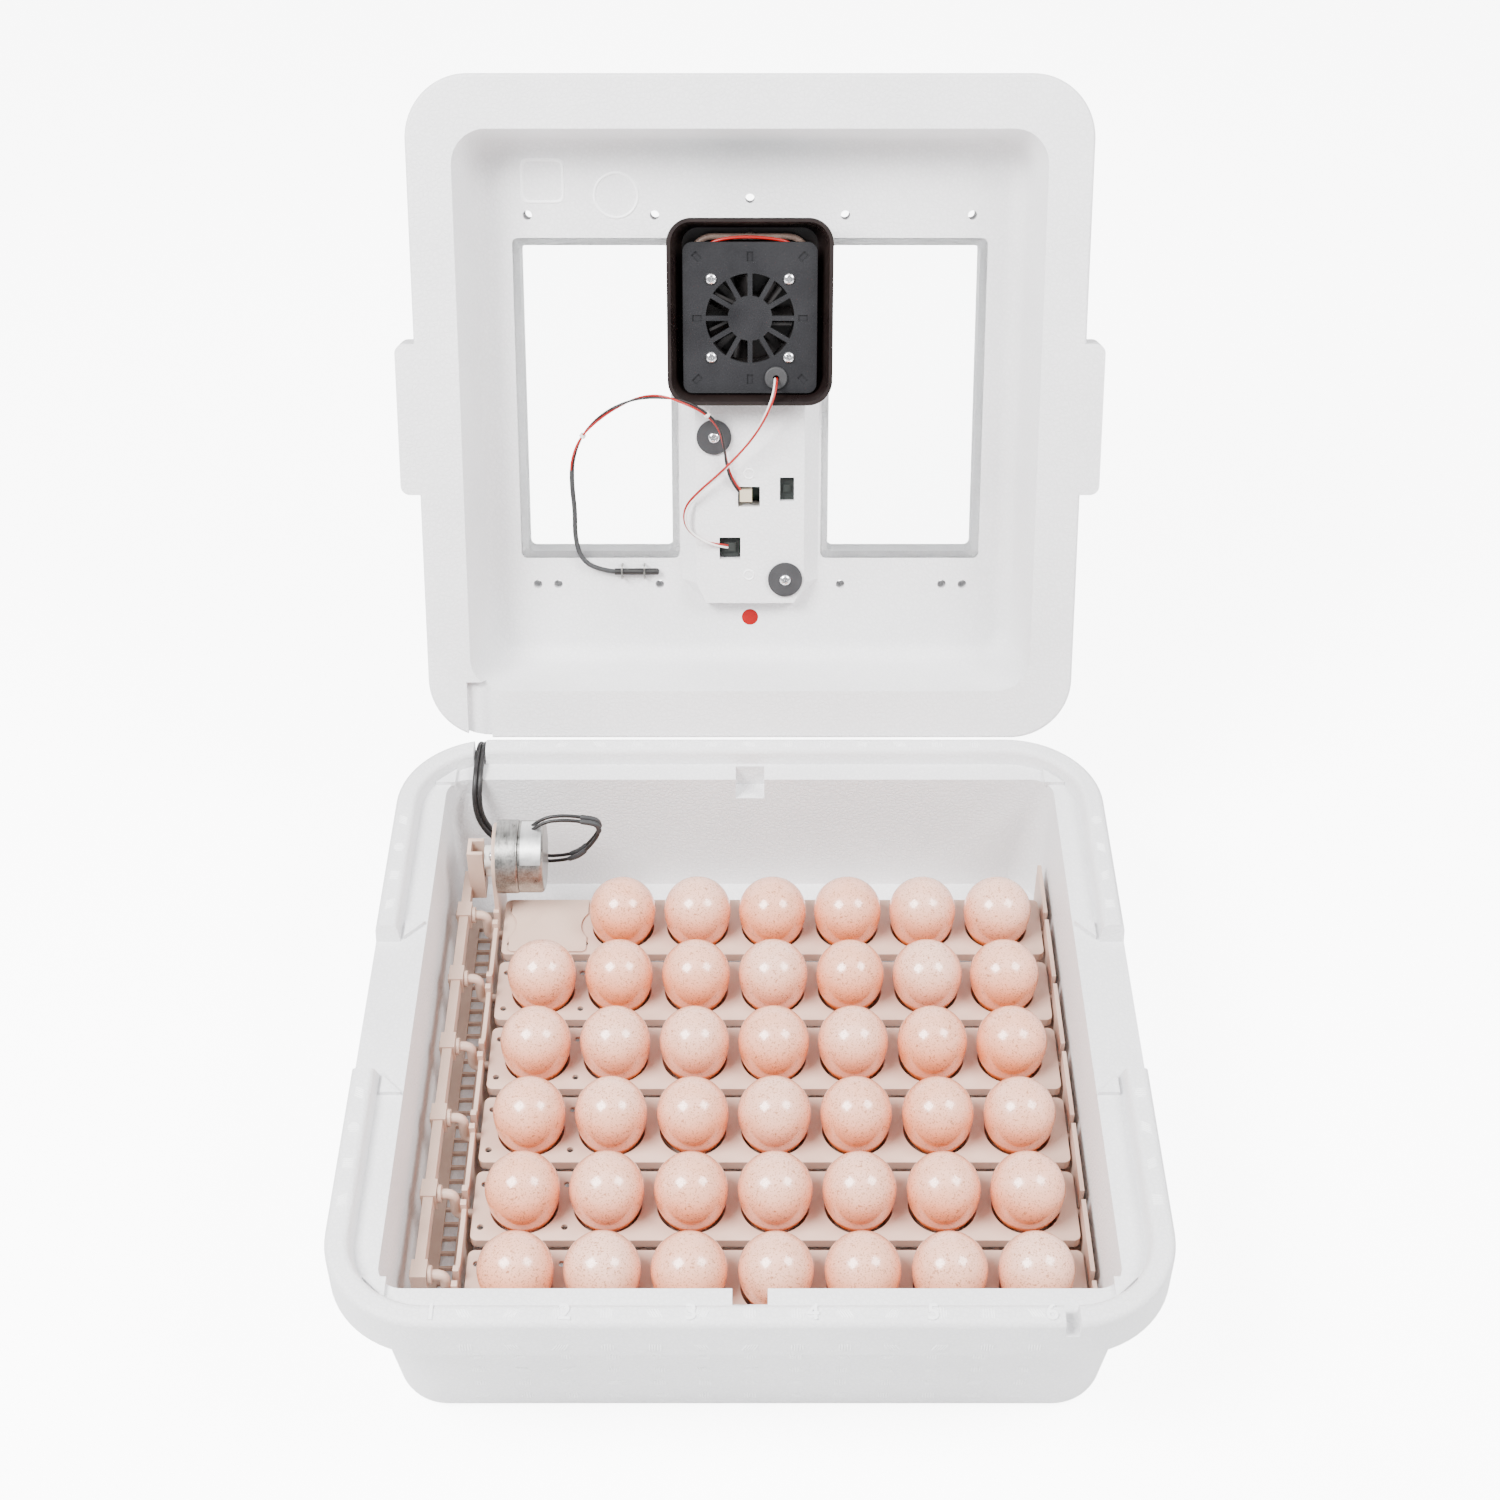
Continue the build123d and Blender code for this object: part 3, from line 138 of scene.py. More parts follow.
def bead_effect() -> bpy.types.NodeTree:
    """Fused foam beads: a cell pattern whose joints sink, with a slow wander of tone.

    Returns:
        A group with the cell pitch in cells per metre as input, and Height and Tone as outputs.
    """
    group, tree, link = effect("fused beads", {"Cells": 330.0}, ("Height", "Tone"))
    where = tree.node("TexCoord").outputs["Object"]
    cells = tree.node("TexVoronoi", {"Vector": where, "Scale": link["Cells"]}, feature="DISTANCE_TO_EDGE")
    soft = tree.ramp(cells.outputs["Distance"], 0.0, 0.22)
    fine = tree.node("TexNoise", {"Vector": where, "Scale": 900.0, "Detail": 3.0}).outputs[0]
    slow = tree.node("TexNoise", {"Vector": where, "Scale": 14.0, "Detail": 4.0}).outputs[0]
    height = tree.node("Math", {0: fine, 1: 0.5, 2: soft}, operation="MULTIPLY_ADD").outputs[0]
    group.links.new(height, link["out"].inputs["Height"])
    tone = tree.node("Math", {0: soft, 1: 0.35, 2: slow}, operation="MULTIPLY_ADD").outputs[0]
    group.links.new(tree.ramp(tone, 0.35, 1.05), link["out"].inputs["Tone"])
    return group


def grain_effect() -> bpy.types.NodeTree:
    """Moulding grain: fine noise for the surface, and slow flow marks for the tone.

    Returns:
        A group with the grain's pitch per metre as input, and Height and Tone as outputs.
    """
    group, tree, link = effect("moulding grain", {"Grain": 1800.0}, ("Height", "Tone"))
    where = tree.node("TexCoord").outputs["Object"]
    fine = tree.node("TexNoise", {"Vector": where, "Scale": link["Grain"], "Detail": 2.0}).outputs[0]
    flow = tree.node("TexNoise", {"Vector": where, "Scale": 26.0, "Detail": 3.0, "Distortion": 0.8}).outputs[0]
    group.links.new(fine, link["out"].inputs["Height"])
    both = tree.node("Math", {0: fine, 1: 0.25, 2: flow}, operation="MULTIPLY_ADD").outputs[0]
    group.links.new(tree.ramp(both, 0.35, 0.85), link["out"].inputs["Tone"])
    return group


def brushed_effect() -> bpy.types.NodeTree:
    """Rolled sheet metal: noise drawn out along one way, and small bright spangles.

    Returns:
        A group with the pitch per metre as input, and Height and Tone as outputs.
    """
    group, tree, link = effect("rolled metal", {"Pitch": 900.0}, ("Height", "Tone"))
    where = tree.node("TexCoord").outputs["Object"]
    drawn = tree.node("Mapping", {"Vector": where, "Scale": (1.0, 0.12, 1.0)}).outputs[0]
    lines = tree.node("TexNoise", {"Vector": drawn, "Scale": link["Pitch"], "Detail": 3.0}).outputs[0]
    spots = tree.node("TexVoronoi", {"Vector": where, "Scale": 160.0}).outputs["Distance"]
    group.links.new(lines, link["out"].inputs["Height"])
    both = tree.node("Math", {0: spots, 1: 0.4, 2: lines}, operation="MULTIPLY_ADD").outputs[0]
    group.links.new(tree.ramp(both, 0.4, 0.9), link["out"].inputs["Tone"])
    return group


class Effect(Enum):
    """The shared surface effects."""

    BEADS = "beads"
    GRAIN = "grain"
    METAL = "metal"


class Effects:
    """The shared effects' node groups, each built once."""

    def __init__(self) -> None:
        """Builds the three groups."""
        self.groups = {Effect.BEADS: bead_effect(), Effect.GRAIN: grain_effect(),
                       Effect.METAL: brushed_effect()}

    def place(self, tree: Tree, kind: Effect, pitch: float) -> bpy.types.Node:
        """Puts one effect into a material.

        Args:
            tree: the material's tree.
            kind: which effect.
            pitch: its size, as repeats per metre.

        Returns:
            The group node, with outputs Height and Tone.
        """
        node = tree.tree.nodes.new("ShaderNodeGroup")
        node.node_tree = self.groups[kind]
        node.inputs[0].default_value = pitch
        return node


# ---------------------------------------------------------------- finishes
@dataclass(frozen=True)
class Finish:
    """One surface finish: two tones, a range of gloss and a fine relief."""

    name: str
    light: tuple[float, float, float]
    dark: tuple[float, float, float]
    gloss: tuple[float, float] = (0.35, 0.5)      # lowest and highest roughness
    kind: Effect = Effect.GRAIN
    pitch: float = 1800.0
    relief: float = 0.15                          # strength of the bump
    depth: float = 0.0002                         # metres that the bump stands for
    metal: float = 0.0
    coat: float = 0.0
    see_through: float = 0.0
    ior: float = 1.5
    shine: float = 0.5

    def material(self, effects: Effects) -> bpy.types.Material:
        """Builds the material: tone to colour and roughness, height to bump.

        Args:
            effects: the shared groups.

        Returns:
            The finished material.
        """
        made = bpy.data.materials.new(self.name)
        made.use_nodes = True
        tree = Tree(made.node_tree)
        shader = made.node_tree.nodes["Principled BSDF"]
        shader.inputs["Metallic"].default_value = self.metal
        shader.inputs["Coat Weight"].default_value = self.coat
        shader.inputs["Coat Roughness"].default_value = 0.12
        shader.inputs["Transmission Weight"].default_value = self.see_through
        shader.inputs["IOR"].default_value = self.ior
        shader.inputs["Specular IOR Level"].default_value = self.shine
        surface = effects.place(tree, self.kind, self.pitch)
        colour = tree.blend(surface.outputs["Tone"], self.dark, self.light)
        made.node_tree.links.new(self.tint(tree, colour), shader.inputs["Base Color"])
        rough = tree.ramp(surface.outputs["Tone"], 0.0, 1.0, *self.gloss)
        made.node_tree.links.new(rough, shader.inputs["Roughness"])
        bump = tree.node("Bump", {"Height": surface.outputs["Height"], "Strength": self.relief,
                                  "Distance": self.depth})
        made.node_tree.links.new(bump.outputs[0], shader.inputs["Normal"])
        made.diffuse_color = (*self.light, 1.0)
        return made

    def tint(self, tree: Tree, colour: bpy.types.NodeSocket) -> bpy.types.NodeSocket:
        """Changes the base colour further; a plain finish leaves it as it is."""
        return colour


@dataclass(frozen=True)
class EggFinish(Finish):
    """Eggshell: fine brown speckles of two sizes over a tone that each egg carries as an attribute: its own
    random warm tint, plus painted warm shade towards the point.
    """

    speckle: tuple[float, float, float] = (0.34, 0.12, 0.05)
    # colour of each egg's random warm tint, and of the painted warm shade towards the point
    warm: tuple[float, float, float] = (0.82, 0.21, 0.05)

    def tint(self, tree: Tree, colour: bpy.types.NodeSocket) -> bpy.types.NodeSocket:
        """Warms the colour by the tone attribute, which holds each egg's random tint plus painted warm shade
        lower down, then adds the speckles where fine noise peaks.

        Args:
            tree: the material's tree.
            colour: colour to start from.

        Returns:
            The speckled colour.
        """
        where = tree.node("TexCoord").outputs["Object"]
        # the tone attribute: each egg's random tint plus painted warm shade lower down
        tone = tree.node("Attribute", attribute_name="tone").outputs["Fac"]
        shell = tree.blend(tone, colour, self.warm)
        for scale, low, high in ((1050.0, 0.555, 0.66), (480.0, 0.63, 0.70)):
            noise = tree.node("TexNoise", {"Vector": where, "Scale": scale, "Detail": 2.0}).outputs[0]
            shell = tree.blend(tree.ramp(noise, low, high, 0.0, 0.72), shell, self.speckle)
        return shell


FOAM = Finish("white foam", (0.83, 0.825, 0.835), (0.73, 0.725, 0.735), (0.5, 0.66),
              Effect.BEADS, 330.0, 0.28, 0.0006)
# paler than the white foam: painted highlight on the raised marks, signs and numerals, where their relief
# catches the light
FOAM_PAINTED_HIGHLIGHT = Finish("foam painted highlight", (0.97, 0.97, 0.975), (0.93, 0.93, 0.935), (0.4, 0.5),
                   Effect.BEADS, 330.0, 0.1, 0.0004)
BEIGE = Finish("beige plastic", (0.60, 0.435, 0.35), (0.51, 0.35, 0.275), (0.33, 0.45), relief=0.12)
WHITE = Finish("white plastic", (0.74, 0.72, 0.69), (0.66, 0.64, 0.61), (0.3, 0.42), relief=0.1)
ZINC = Finish("zinc steel", (0.42, 0.415, 0.395), (0.20, 0.195, 0.185), (0.26, 0.42),
              Effect.METAL, 900.0, 0.2, 0.0001, metal=1.0)
CHROME = Finish("screw steel", (0.86, 0.86, 0.87), (0.66, 0.66, 0.68), (0.14, 0.26),
                Effect.METAL, 1500.0, 0.12, 0.0001, metal=1.0)
CORD_BLACK = Finish("cord black", (0.012, 0.011, 0.011), (0.007, 0.006, 0.006), (0.38, 0.5),
                    pitch=2600.0, relief=0.1)
CLEAR = Finish("clear plastic", (0.99, 0.995, 0.995), (0.97, 0.985, 0.985), (0.03, 0.08),
               pitch=300.0, relief=0.03, see_through=1.0, ior=1.46)
RED = Finish("red plastic", (0.33, 0.002, 0.003), (0.25, 0.001, 0.0015), (0.14, 0.22),
             relief=0.06, coat=0.6)
BLACK = Finish("black plastic", (0.014, 0.012, 0.012), (0.008, 0.007, 0.007), (0.3, 0.42),
               pitch=2400.0, relief=0.14)
HOUSING = Finish("dark housing", (0.014, 0.009, 0.008), (0.007, 0.004, 0.004), (0.24, 0.36),
                 pitch=1500.0, relief=0.12)
PLATE = Finish("dark plate", (0.016, 0.016, 0.018), (0.008, 0.008, 0.0095), (0.42, 0.6),
               pitch=1300.0, relief=0.5, depth=0.0003, shine=0.2)
HEATER = Finish("heater wire", (0.30, 0.21, 0.17), (0.17, 0.11, 0.09), (0.4, 0.55),
                Effect.METAL, 1200.0, 0.3)
LEAD_RED = Finish("lead red", (0.36, 0.008, 0.005), (0.26, 0.004, 0.003), (0.32, 0.42),
                  pitch=2600.0, relief=0.08)
LEAD_WHITE = Finish("lead white", (0.84, 0.83, 0.80), (0.74, 0.72, 0.69), (0.32, 0.42),
                    pitch=2600.0, relief=0.08)
RUBBER = Finish("dark rubber", (0.035, 0.035, 0.037), (0.020, 0.020, 0.021), (0.55, 0.7),
                pitch=2000.0, relief=0.3)
BOX_GREY = Finish("box plastic", (0.58, 0.59, 0.60), (0.50, 0.51, 0.52), (0.4, 0.5),
                  pitch=1600.0, relief=0.25)
BOARD = Finish("board green", (0.010, 0.075, 0.032), (0.004, 0.040, 0.018), (0.28, 0.45),
               pitch=700.0, relief=0.3, coat=0.3)
SMOKED = Finish("smoked window", (0.05, 0.045, 0.045), (0.03, 0.025, 0.025), (0.06, 0.12),
                relief=0.02, coat=0.5)
WASHER = Finish("washer grey", (0.055, 0.055, 0.058), (0.035, 0.035, 0.037), (0.42, 0.55),
                pitch=2000.0, relief=0.2, shine=0.25)
CONNECTOR = Finish("connector beige", (0.56, 0.49, 0.36), (0.46, 0.39, 0.27), (0.34, 0.44), relief=0.12)
BUTTON = Finish("button grey", (0.24, 0.25, 0.26), (0.17, 0.18, 0.19), (0.45, 0.55), relief=0.2)
SILVER_LABEL = Finish("silver label", (0.80, 0.80, 0.79), (0.66, 0.66, 0.65), (0.3, 0.4),
                      Effect.METAL, 700.0, 0.1, metal=0.9)
CHIP = Finish("chip grey", (0.030, 0.034, 0.032), (0.012, 0.016, 0.014), (0.4, 0.5),
              pitch=900.0, relief=0.4, shine=0.3)
EGGSHELL = EggFinish("eggshell", (0.88, 0.55, 0.425), (0.82, 0.45, 0.32), (0.2, 0.3),
                     pitch=1500.0, relief=0.10, depth=0.0002, coat=0.7)

NODE_FINISH = {
    FOAM: ("base_shell", "lid_shell"),
    BEIGE: ("turner_left_rail", "turner_right_rail", "turner_cross_bars", "drive_bar", "tray_cover",
            *(f"tray_{row}" for row in range(1, 7))),
    WHITE: ("motor_crank",),
    ZINC: ("motor_gearbox", "motor_can", "probe_clips"),
    CORD_BLACK: ("turner_cord_plug", "sensor_probe"),
    CLEAR: ("window_left", "window_right"),
    RED: ("vent_plug",),
    BLACK: ("fan_frame", "fan_impeller", "power_inlet"),
    HOUSING: ("heater_housing",),
    PLATE: ("fan_plate",),
    HEATER: ("heater_loop",),
    RUBBER: ("wire_grommet",),
    BOX_GREY: ("control_box_base", "control_box_cover"),
    BOARD: ("control_board",),
    SMOKED: ("display_window",),
    WASHER: ("control_box_washers",),
    CONNECTOR: ("sensor_plug",),
    CHIP: ("humidity_sensor", "fan_socket"),
    BUTTON: ("control_button_1", "control_button_2", "control_button_3"),
}


class Paint:
    """Hands out each finish's material, built the first time it is asked for."""

    def __init__(self) -> None:
        """Starts with the shared effects and no material."""
        self.effects = Effects()
        self.made: dict[Finish, bpy.types.Material] = {}

    def of(self, finish: Finish) -> bpy.types.Material:
        """Returns the finish's material."""
        if finish not in self.made:
            self.made[finish] = finish.material(self.effects)
        return self.made[finish]

    def dress_nodes(self) -> None:
        """Gives every carried-over CAD node its finish."""
        for finish, names in NODE_FINISH.items():
            for name in names:
                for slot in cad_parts[name].material_slots:
                    slot.material = self.of(finish)


# ---------------------------------------------------------------- meshes worked out as arrays
@dataclass
class Patch:
    """Points and faces of one mesh, in metres."""

    points: np.ndarray
    faces: list[np.ndarray] = field(default_factory=list)

    @staticmethod
    def grid(points: np.ndarray, wrap_u: bool = False, wrap_v: bool = False) -> "Patch":
        """Joins a grid of points with four-sided faces.

        Face (i, j) has the corners (i, j), (i+1, j), (i+1, j+1), (i, j+1), counted round where a side wraps.

        Args:
            points: array (u, v, 3).
            wrap_u: the last row joins the first.
            wrap_v: the last column joins the first.

        Returns:
            The patch.
        """
        nu, nv = points.shape[:2]
        rows, columns = nu if wrap_u else nu - 1, nv if wrap_v else nv - 1
        i, j = np.meshgrid(np.arange(rows), np.arange(columns), indexing="ij")
        i1, j1 = (i + 1) % nu, (j + 1) % nv
        quads = np.stack([i * nv + j, i1 * nv + j, i1 * nv + j1, i * nv + j1], axis=-1)
        return Patch(points.reshape(-1, 3), [quads.reshape(-1, 4)])

    def repeated(self, places: np.ndarray) -> "Patch":
        """Repeats the patch at several places.

        Point p at place M is M[:3, :3] p + M[:3, 3].

        Args:
            places: array (n, 4, 4).

        Returns:
            One patch with n copies.
        """
        spread = np.einsum("nij,pj->npi", places[:, :3, :3], self.points) + places[:, None, :3, 3]
        shift = np.arange(len(places))[:, None, None] * len(self.points)
        return Patch(spread.reshape(-1, 3), [(f[None] + shift).reshape(-1, f.shape[1]) for f in self.faces])

    def moved(self, matrix: np.ndarray) -> "Patch":
        """Returns the patch carried by one 4 x 4 matrix."""
        return self.repeated(matrix[None])

    def __add__(self, other: "Patch") -> "Patch":
        """Returns both patches as one."""
        moved_on = [f + len(self.points) for f in other.faces]
        return Patch(np.vstack([self.points, other.points]), self.faces + moved_on)

    def piece(self, name: str, material: bpy.types.Material, body: str, slot: str, sharp: float = 40.0,
              tones: np.ndarray | None = None) -> bpy.types.Object:
        """Makes the patch an object that rides on a body.

        Doubled points are merged, so that seams and poles close, and then faces are turned outwards.

        Args:
            name: the object's name.
            material: its material.
            body: the body that it rides on.
            slot: not used.
            sharp: edges bent by more degrees than this stay crisp.
            tones: a value per point, kept as the attribute "tone".

        Returns:
            The new object.
        """
        mesh = bpy.data.meshes.new(name)
        mesh.from_pydata(self.points.tolist(), [], [f for faces in self.faces for f in faces.tolist()])
        if tones is not None:
            mesh.attributes.new("tone", "FLOAT", "POINT").data.foreach_set("value", tones.astype(np.float32))
        work = bmesh.new()
        work.from_mesh(mesh)
        bmesh.ops.remove_doubles(work, verts=work.verts, dist=1e-6)
        bmesh.ops.recalc_face_normals(work, faces=work.faces)
        work.to_mesh(mesh)
        work.free()
        mesh.shade_smooth()
        mesh.set_sharp_from_angle(angle=math.radians(sharp))
        mesh.materials.append(material)
        obj = bpy.data.objects.new(name, mesh)
        bpy.context.scene.collection.objects.link(obj)
        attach(obj, body)
        LOG.info("%s: %d faces on %s", name, len(mesh.polygons), body)
        return obj


def place(at: tuple, x_axis: tuple, z_axis: tuple) -> np.ndarray:
    """A place whose own X and Z lie along two given directions.

    Args:
        at: the origin, in metres.
        x_axis: direction of X.
        z_axis: direction of Z, at right angles to it.

    Returns:
        The 4 x 4 matrix.
    """
    x, z = (np.asarray(v, float) / np.linalg.norm(v) for v in (x_axis, z_axis))
    matrix = np.eye(4)
    matrix[:3, 0], matrix[:3, 1], matrix[:3, 2], matrix[:3, 3] = x, np.cross(z, x), z, at
    return matrix


def turned(profile: np.ndarray, steps: int = 48) -> Patch:
    """Turns a profile about Z: point (r, z) at angle a is (r cos a, r sin a, z).

    Args:
        profile: array (n, 2) of radius and height.
        steps: divisions round.

    Returns:
        The patch.
    """
    angle = np.linspace(0, 2 * math.pi, steps, endpoint=False)
    r, z = profile[:, 0][:, None], profile[:, 1][:, None]
    points = np.stack([r * np.cos(angle), r * np.sin(angle), z * np.ones_like(angle)], axis=-1)
    return Patch.grid(points, wrap_v=True)


def smooth_line(points: list[tuple] | np.ndarray, detail: int = 8) -> np.ndarray:
    """Reads the line of a cord's NURBS spline.

    Args:
        points: the spline's control points, in metres.
        detail: divisions of the spline between two control points.

    Returns:
        Array (n, 3) of points along the spline.
    """
    curve = bpy.data.curves.new("route", "CURVE")
    curve.dimensions = "3D"
    curve.resolution_u = detail
    spline = curve.splines.new("NURBS")
    spline.points.add(len(points) - 1)
    control = np.hstack([np.asarray(points, float), np.ones((len(points), 1))])
    spline.points.foreach_set("co", control.ravel())
    spline.order_u = 3
    spline.use_endpoint_u = True
    holder = bpy.data.objects.new("route", curve)
    mesh = bpy.data.meshes.new_from_object(holder)
    line = np.empty(len(mesh.vertices) * 3)
    mesh.vertices.foreach_get("co", line)
    bpy.data.objects.remove(holder)
    bpy.data.meshes.remove(mesh)
    bpy.data.curves.remove(curve)
    line = line.reshape(-1, 3)
    return line[np.append(True, np.linalg.norm(np.diff(line, axis=0), axis=1) > 1e-7)]


@dataclass
class Line:
    """A line through space with its length so far and a width direction at each point."""

    points: np.ndarray
    aside: np.ndarray

    @staticmethod
    def along(points: np.ndarray, hints: list[tuple] | np.ndarray,
              at: np.ndarray | None = None) -> "Line":
        """Works out the width directions.

        Between hints, the direction is blended by length along the line, and what lies along the line is
        taken out of it: w = h - (h.t) t, made one long.

        Args:
            points: array (n, 3) along the line.
            hints: rough width directions, from start to end.
            at: share of the length at which each hint holds; evenly spread if not given.

        Returns:
            The line.
        """
        step = np.linalg.norm(np.diff(points, axis=0), axis=1)
        share = np.append(0, np.cumsum(step)) / step.sum()
        hints = np.asarray(hints, float)
        at = np.linspace(0, 1, len(hints)) if at is None else at
        rough = np.stack([np.interp(share, at, hints[:, k]) for k in range(3)], axis=-1)
        tangent = np.gradient(points, axis=0)
        tangent /= np.linalg.norm(tangent, axis=1)[:, None]
        rough -= (rough * tangent).sum(axis=1)[:, None] * tangent
        return Line(points, rough / np.linalg.norm(rough, axis=1)[:, None])

    @property
    def so_far(self) -> np.ndarray:
        """Length from the start to each point."""
        return np.append(0, np.cumsum(np.linalg.norm(np.diff(self.points, axis=0), axis=1)))

    def part(self, start: float, end: float) -> "Line":
        """Returns the stretch between two lengths from the start."""
        inside = (self.so_far >= start) & (self.so_far <= end)
        return Line(self.points[inside], self.aside[inside])

    def tube(self, radius: float | np.ndarray, off: float | np.ndarray = 0.0, sides: int = 12) -> Patch:
        """Sweeps a circle beside the line: centre p + off w, point centre + r (w cos a + u sin a).

        Args:
            radius: the circle's radius, or one per point.
            off: how far the circle's centre is from the line, along the width direction.
            sides: divisions round.

        Returns:
            The tube, with both ends closed.
        """
        tangent = np.gradient(self.points, axis=0)
        tangent /= np.linalg.norm(tangent, axis=1)[:, None]
        up = np.cross(tangent, self.aside)
        angle = np.linspace(0, 2 * math.pi, sides, endpoint=False)
        count = len(self.points)
        radius, off = np.broadcast_to(radius, count), np.broadcast_to(off, count)
        centre = self.points + off[:, None] * self.aside
        ring = self.aside[:, None] * np.cos(angle)[None, :, None] + up[:, None] * np.sin(angle)[None, :, None]
        body = centre[:, None] + radius[:, None, None] * ring
        ends = [np.broadcast_to(centre[k], (1, sides, 3)) for k in (0, -1)]
        return Patch.grid(np.concatenate([ends[0], body, ends[1]]), wrap_v=True)


# ---------------------------------------------------------------- studio
@dataclass
class Studio:
    """Camera, pale floor and soft lights."""

    lens: float = 55.32
    sensor: float = 36.0
    camera_at: tuple = (0.0, -0.9218, 1.1515)
    camera_pitch: float = 48.0
    floor_half: float = 6.0
    sky: tuple = (0.97, 0.98, 1.0, 1.0)
    sky_strength: float = 0.6

    def build(self, paint: Paint) -> None:
        """Puts up the camera first, then the floor and the lights.

        Args:
            paint: not used.
        """
        data = bpy.data.cameras.new("camera")
        data.lens, data.sensor_width = self.lens, self.sensor
        camera = bpy.data.objects.new("camera", data)
        camera.location, camera.rotation_euler = self.camera_at, (math.radians(self.camera_pitch), 0, 0)
        bpy.context.scene.collection.objects.link(camera)
        bpy.context.scene.camera = camera
        floor = bpy.data.meshes.new("floor")
        half = self.floor_half
        floor.from_pydata([(-half, -half, 0), (half, -half, 0), (half, half, 0), (-half, half, 0)], [],
                          [(0, 1, 2, 3)])
        floor.materials.append(self.floor_material())
        ground = bpy.data.objects.new("floor", floor)
        bpy.context.scene.collection.objects.link(ground)
        world = bpy.data.worlds.new("soft sky")
        world.use_nodes = True
        world.node_tree.nodes["Background"].inputs["Color"].default_value = self.sky
        world.node_tree.nodes["Background"].inputs["Strength"].default_value = self.sky_strength
        bpy.context.scene.world = world
        self.lamp("key", (-1.0, -0.55, 1.7), 0.85, 105.0)
        self.lamp("fill", (1.15, -0.35, 1.6), 0.75, 52.0)
        self.lamp("top", (0.0, -0.2, 2.4), 1.6, 14.0)

    @staticmethod
    def floor_material() -> bpy.types.Material:
        """Returns the floor's plain pale material, which glows only where it is looked at directly."""
        made = bpy.data.materials.new("pale floor")
        made.use_nodes = True
        shader = made.node_tree.nodes["Principled BSDF"]
        shader.inputs["Base Color"].default_value = (0.97, 0.97, 0.97, 1.0)
        shader.inputs["Roughness"].default_value = 0.9
        shader.inputs["Emission Color"].default_value = (1.0, 1.0, 1.0, 1.0)
        tree = Tree(made.node_tree)
        path = tree.node("LightPath").outputs
        direct, through = path["Is Camera Ray"], path["Is Transmission Ray"]
        seen = tree.node("Math", {0: direct, 1: through}, operation="MAXIMUM")
        glow = tree.ramp(seen.outputs[0], 0.0, 1.0, 0.25, 7.0)
        made.node_tree.links.new(glow, shader.inputs["Emission Strength"])
        return made

    @staticmethod
    def lamp(name: str, at: tuple, size: float, power: float) -> None:
        """Hangs one square soft light that faces the middle of the object.

        Args:
            name: the light's name.
            at: its place, in metres.
            size: its side, in metres.
            power: watts.
        """
        data = bpy.data.lights.new(name, "AREA")
        data.size, data.energy = size, power
        lamp = bpy.data.objects.new(name, data)
        lamp.location = at
        towards = np.array([0.0, 0.05, 0.15]) - np.array(at)
        flat = math.hypot(towards[0], towards[1])
        lamp.rotation_euler = (math.atan2(flat, -towards[2]), 0, math.atan2(-towards[0], towards[1]))
        bpy.context.scene.collection.objects.link(lamp)


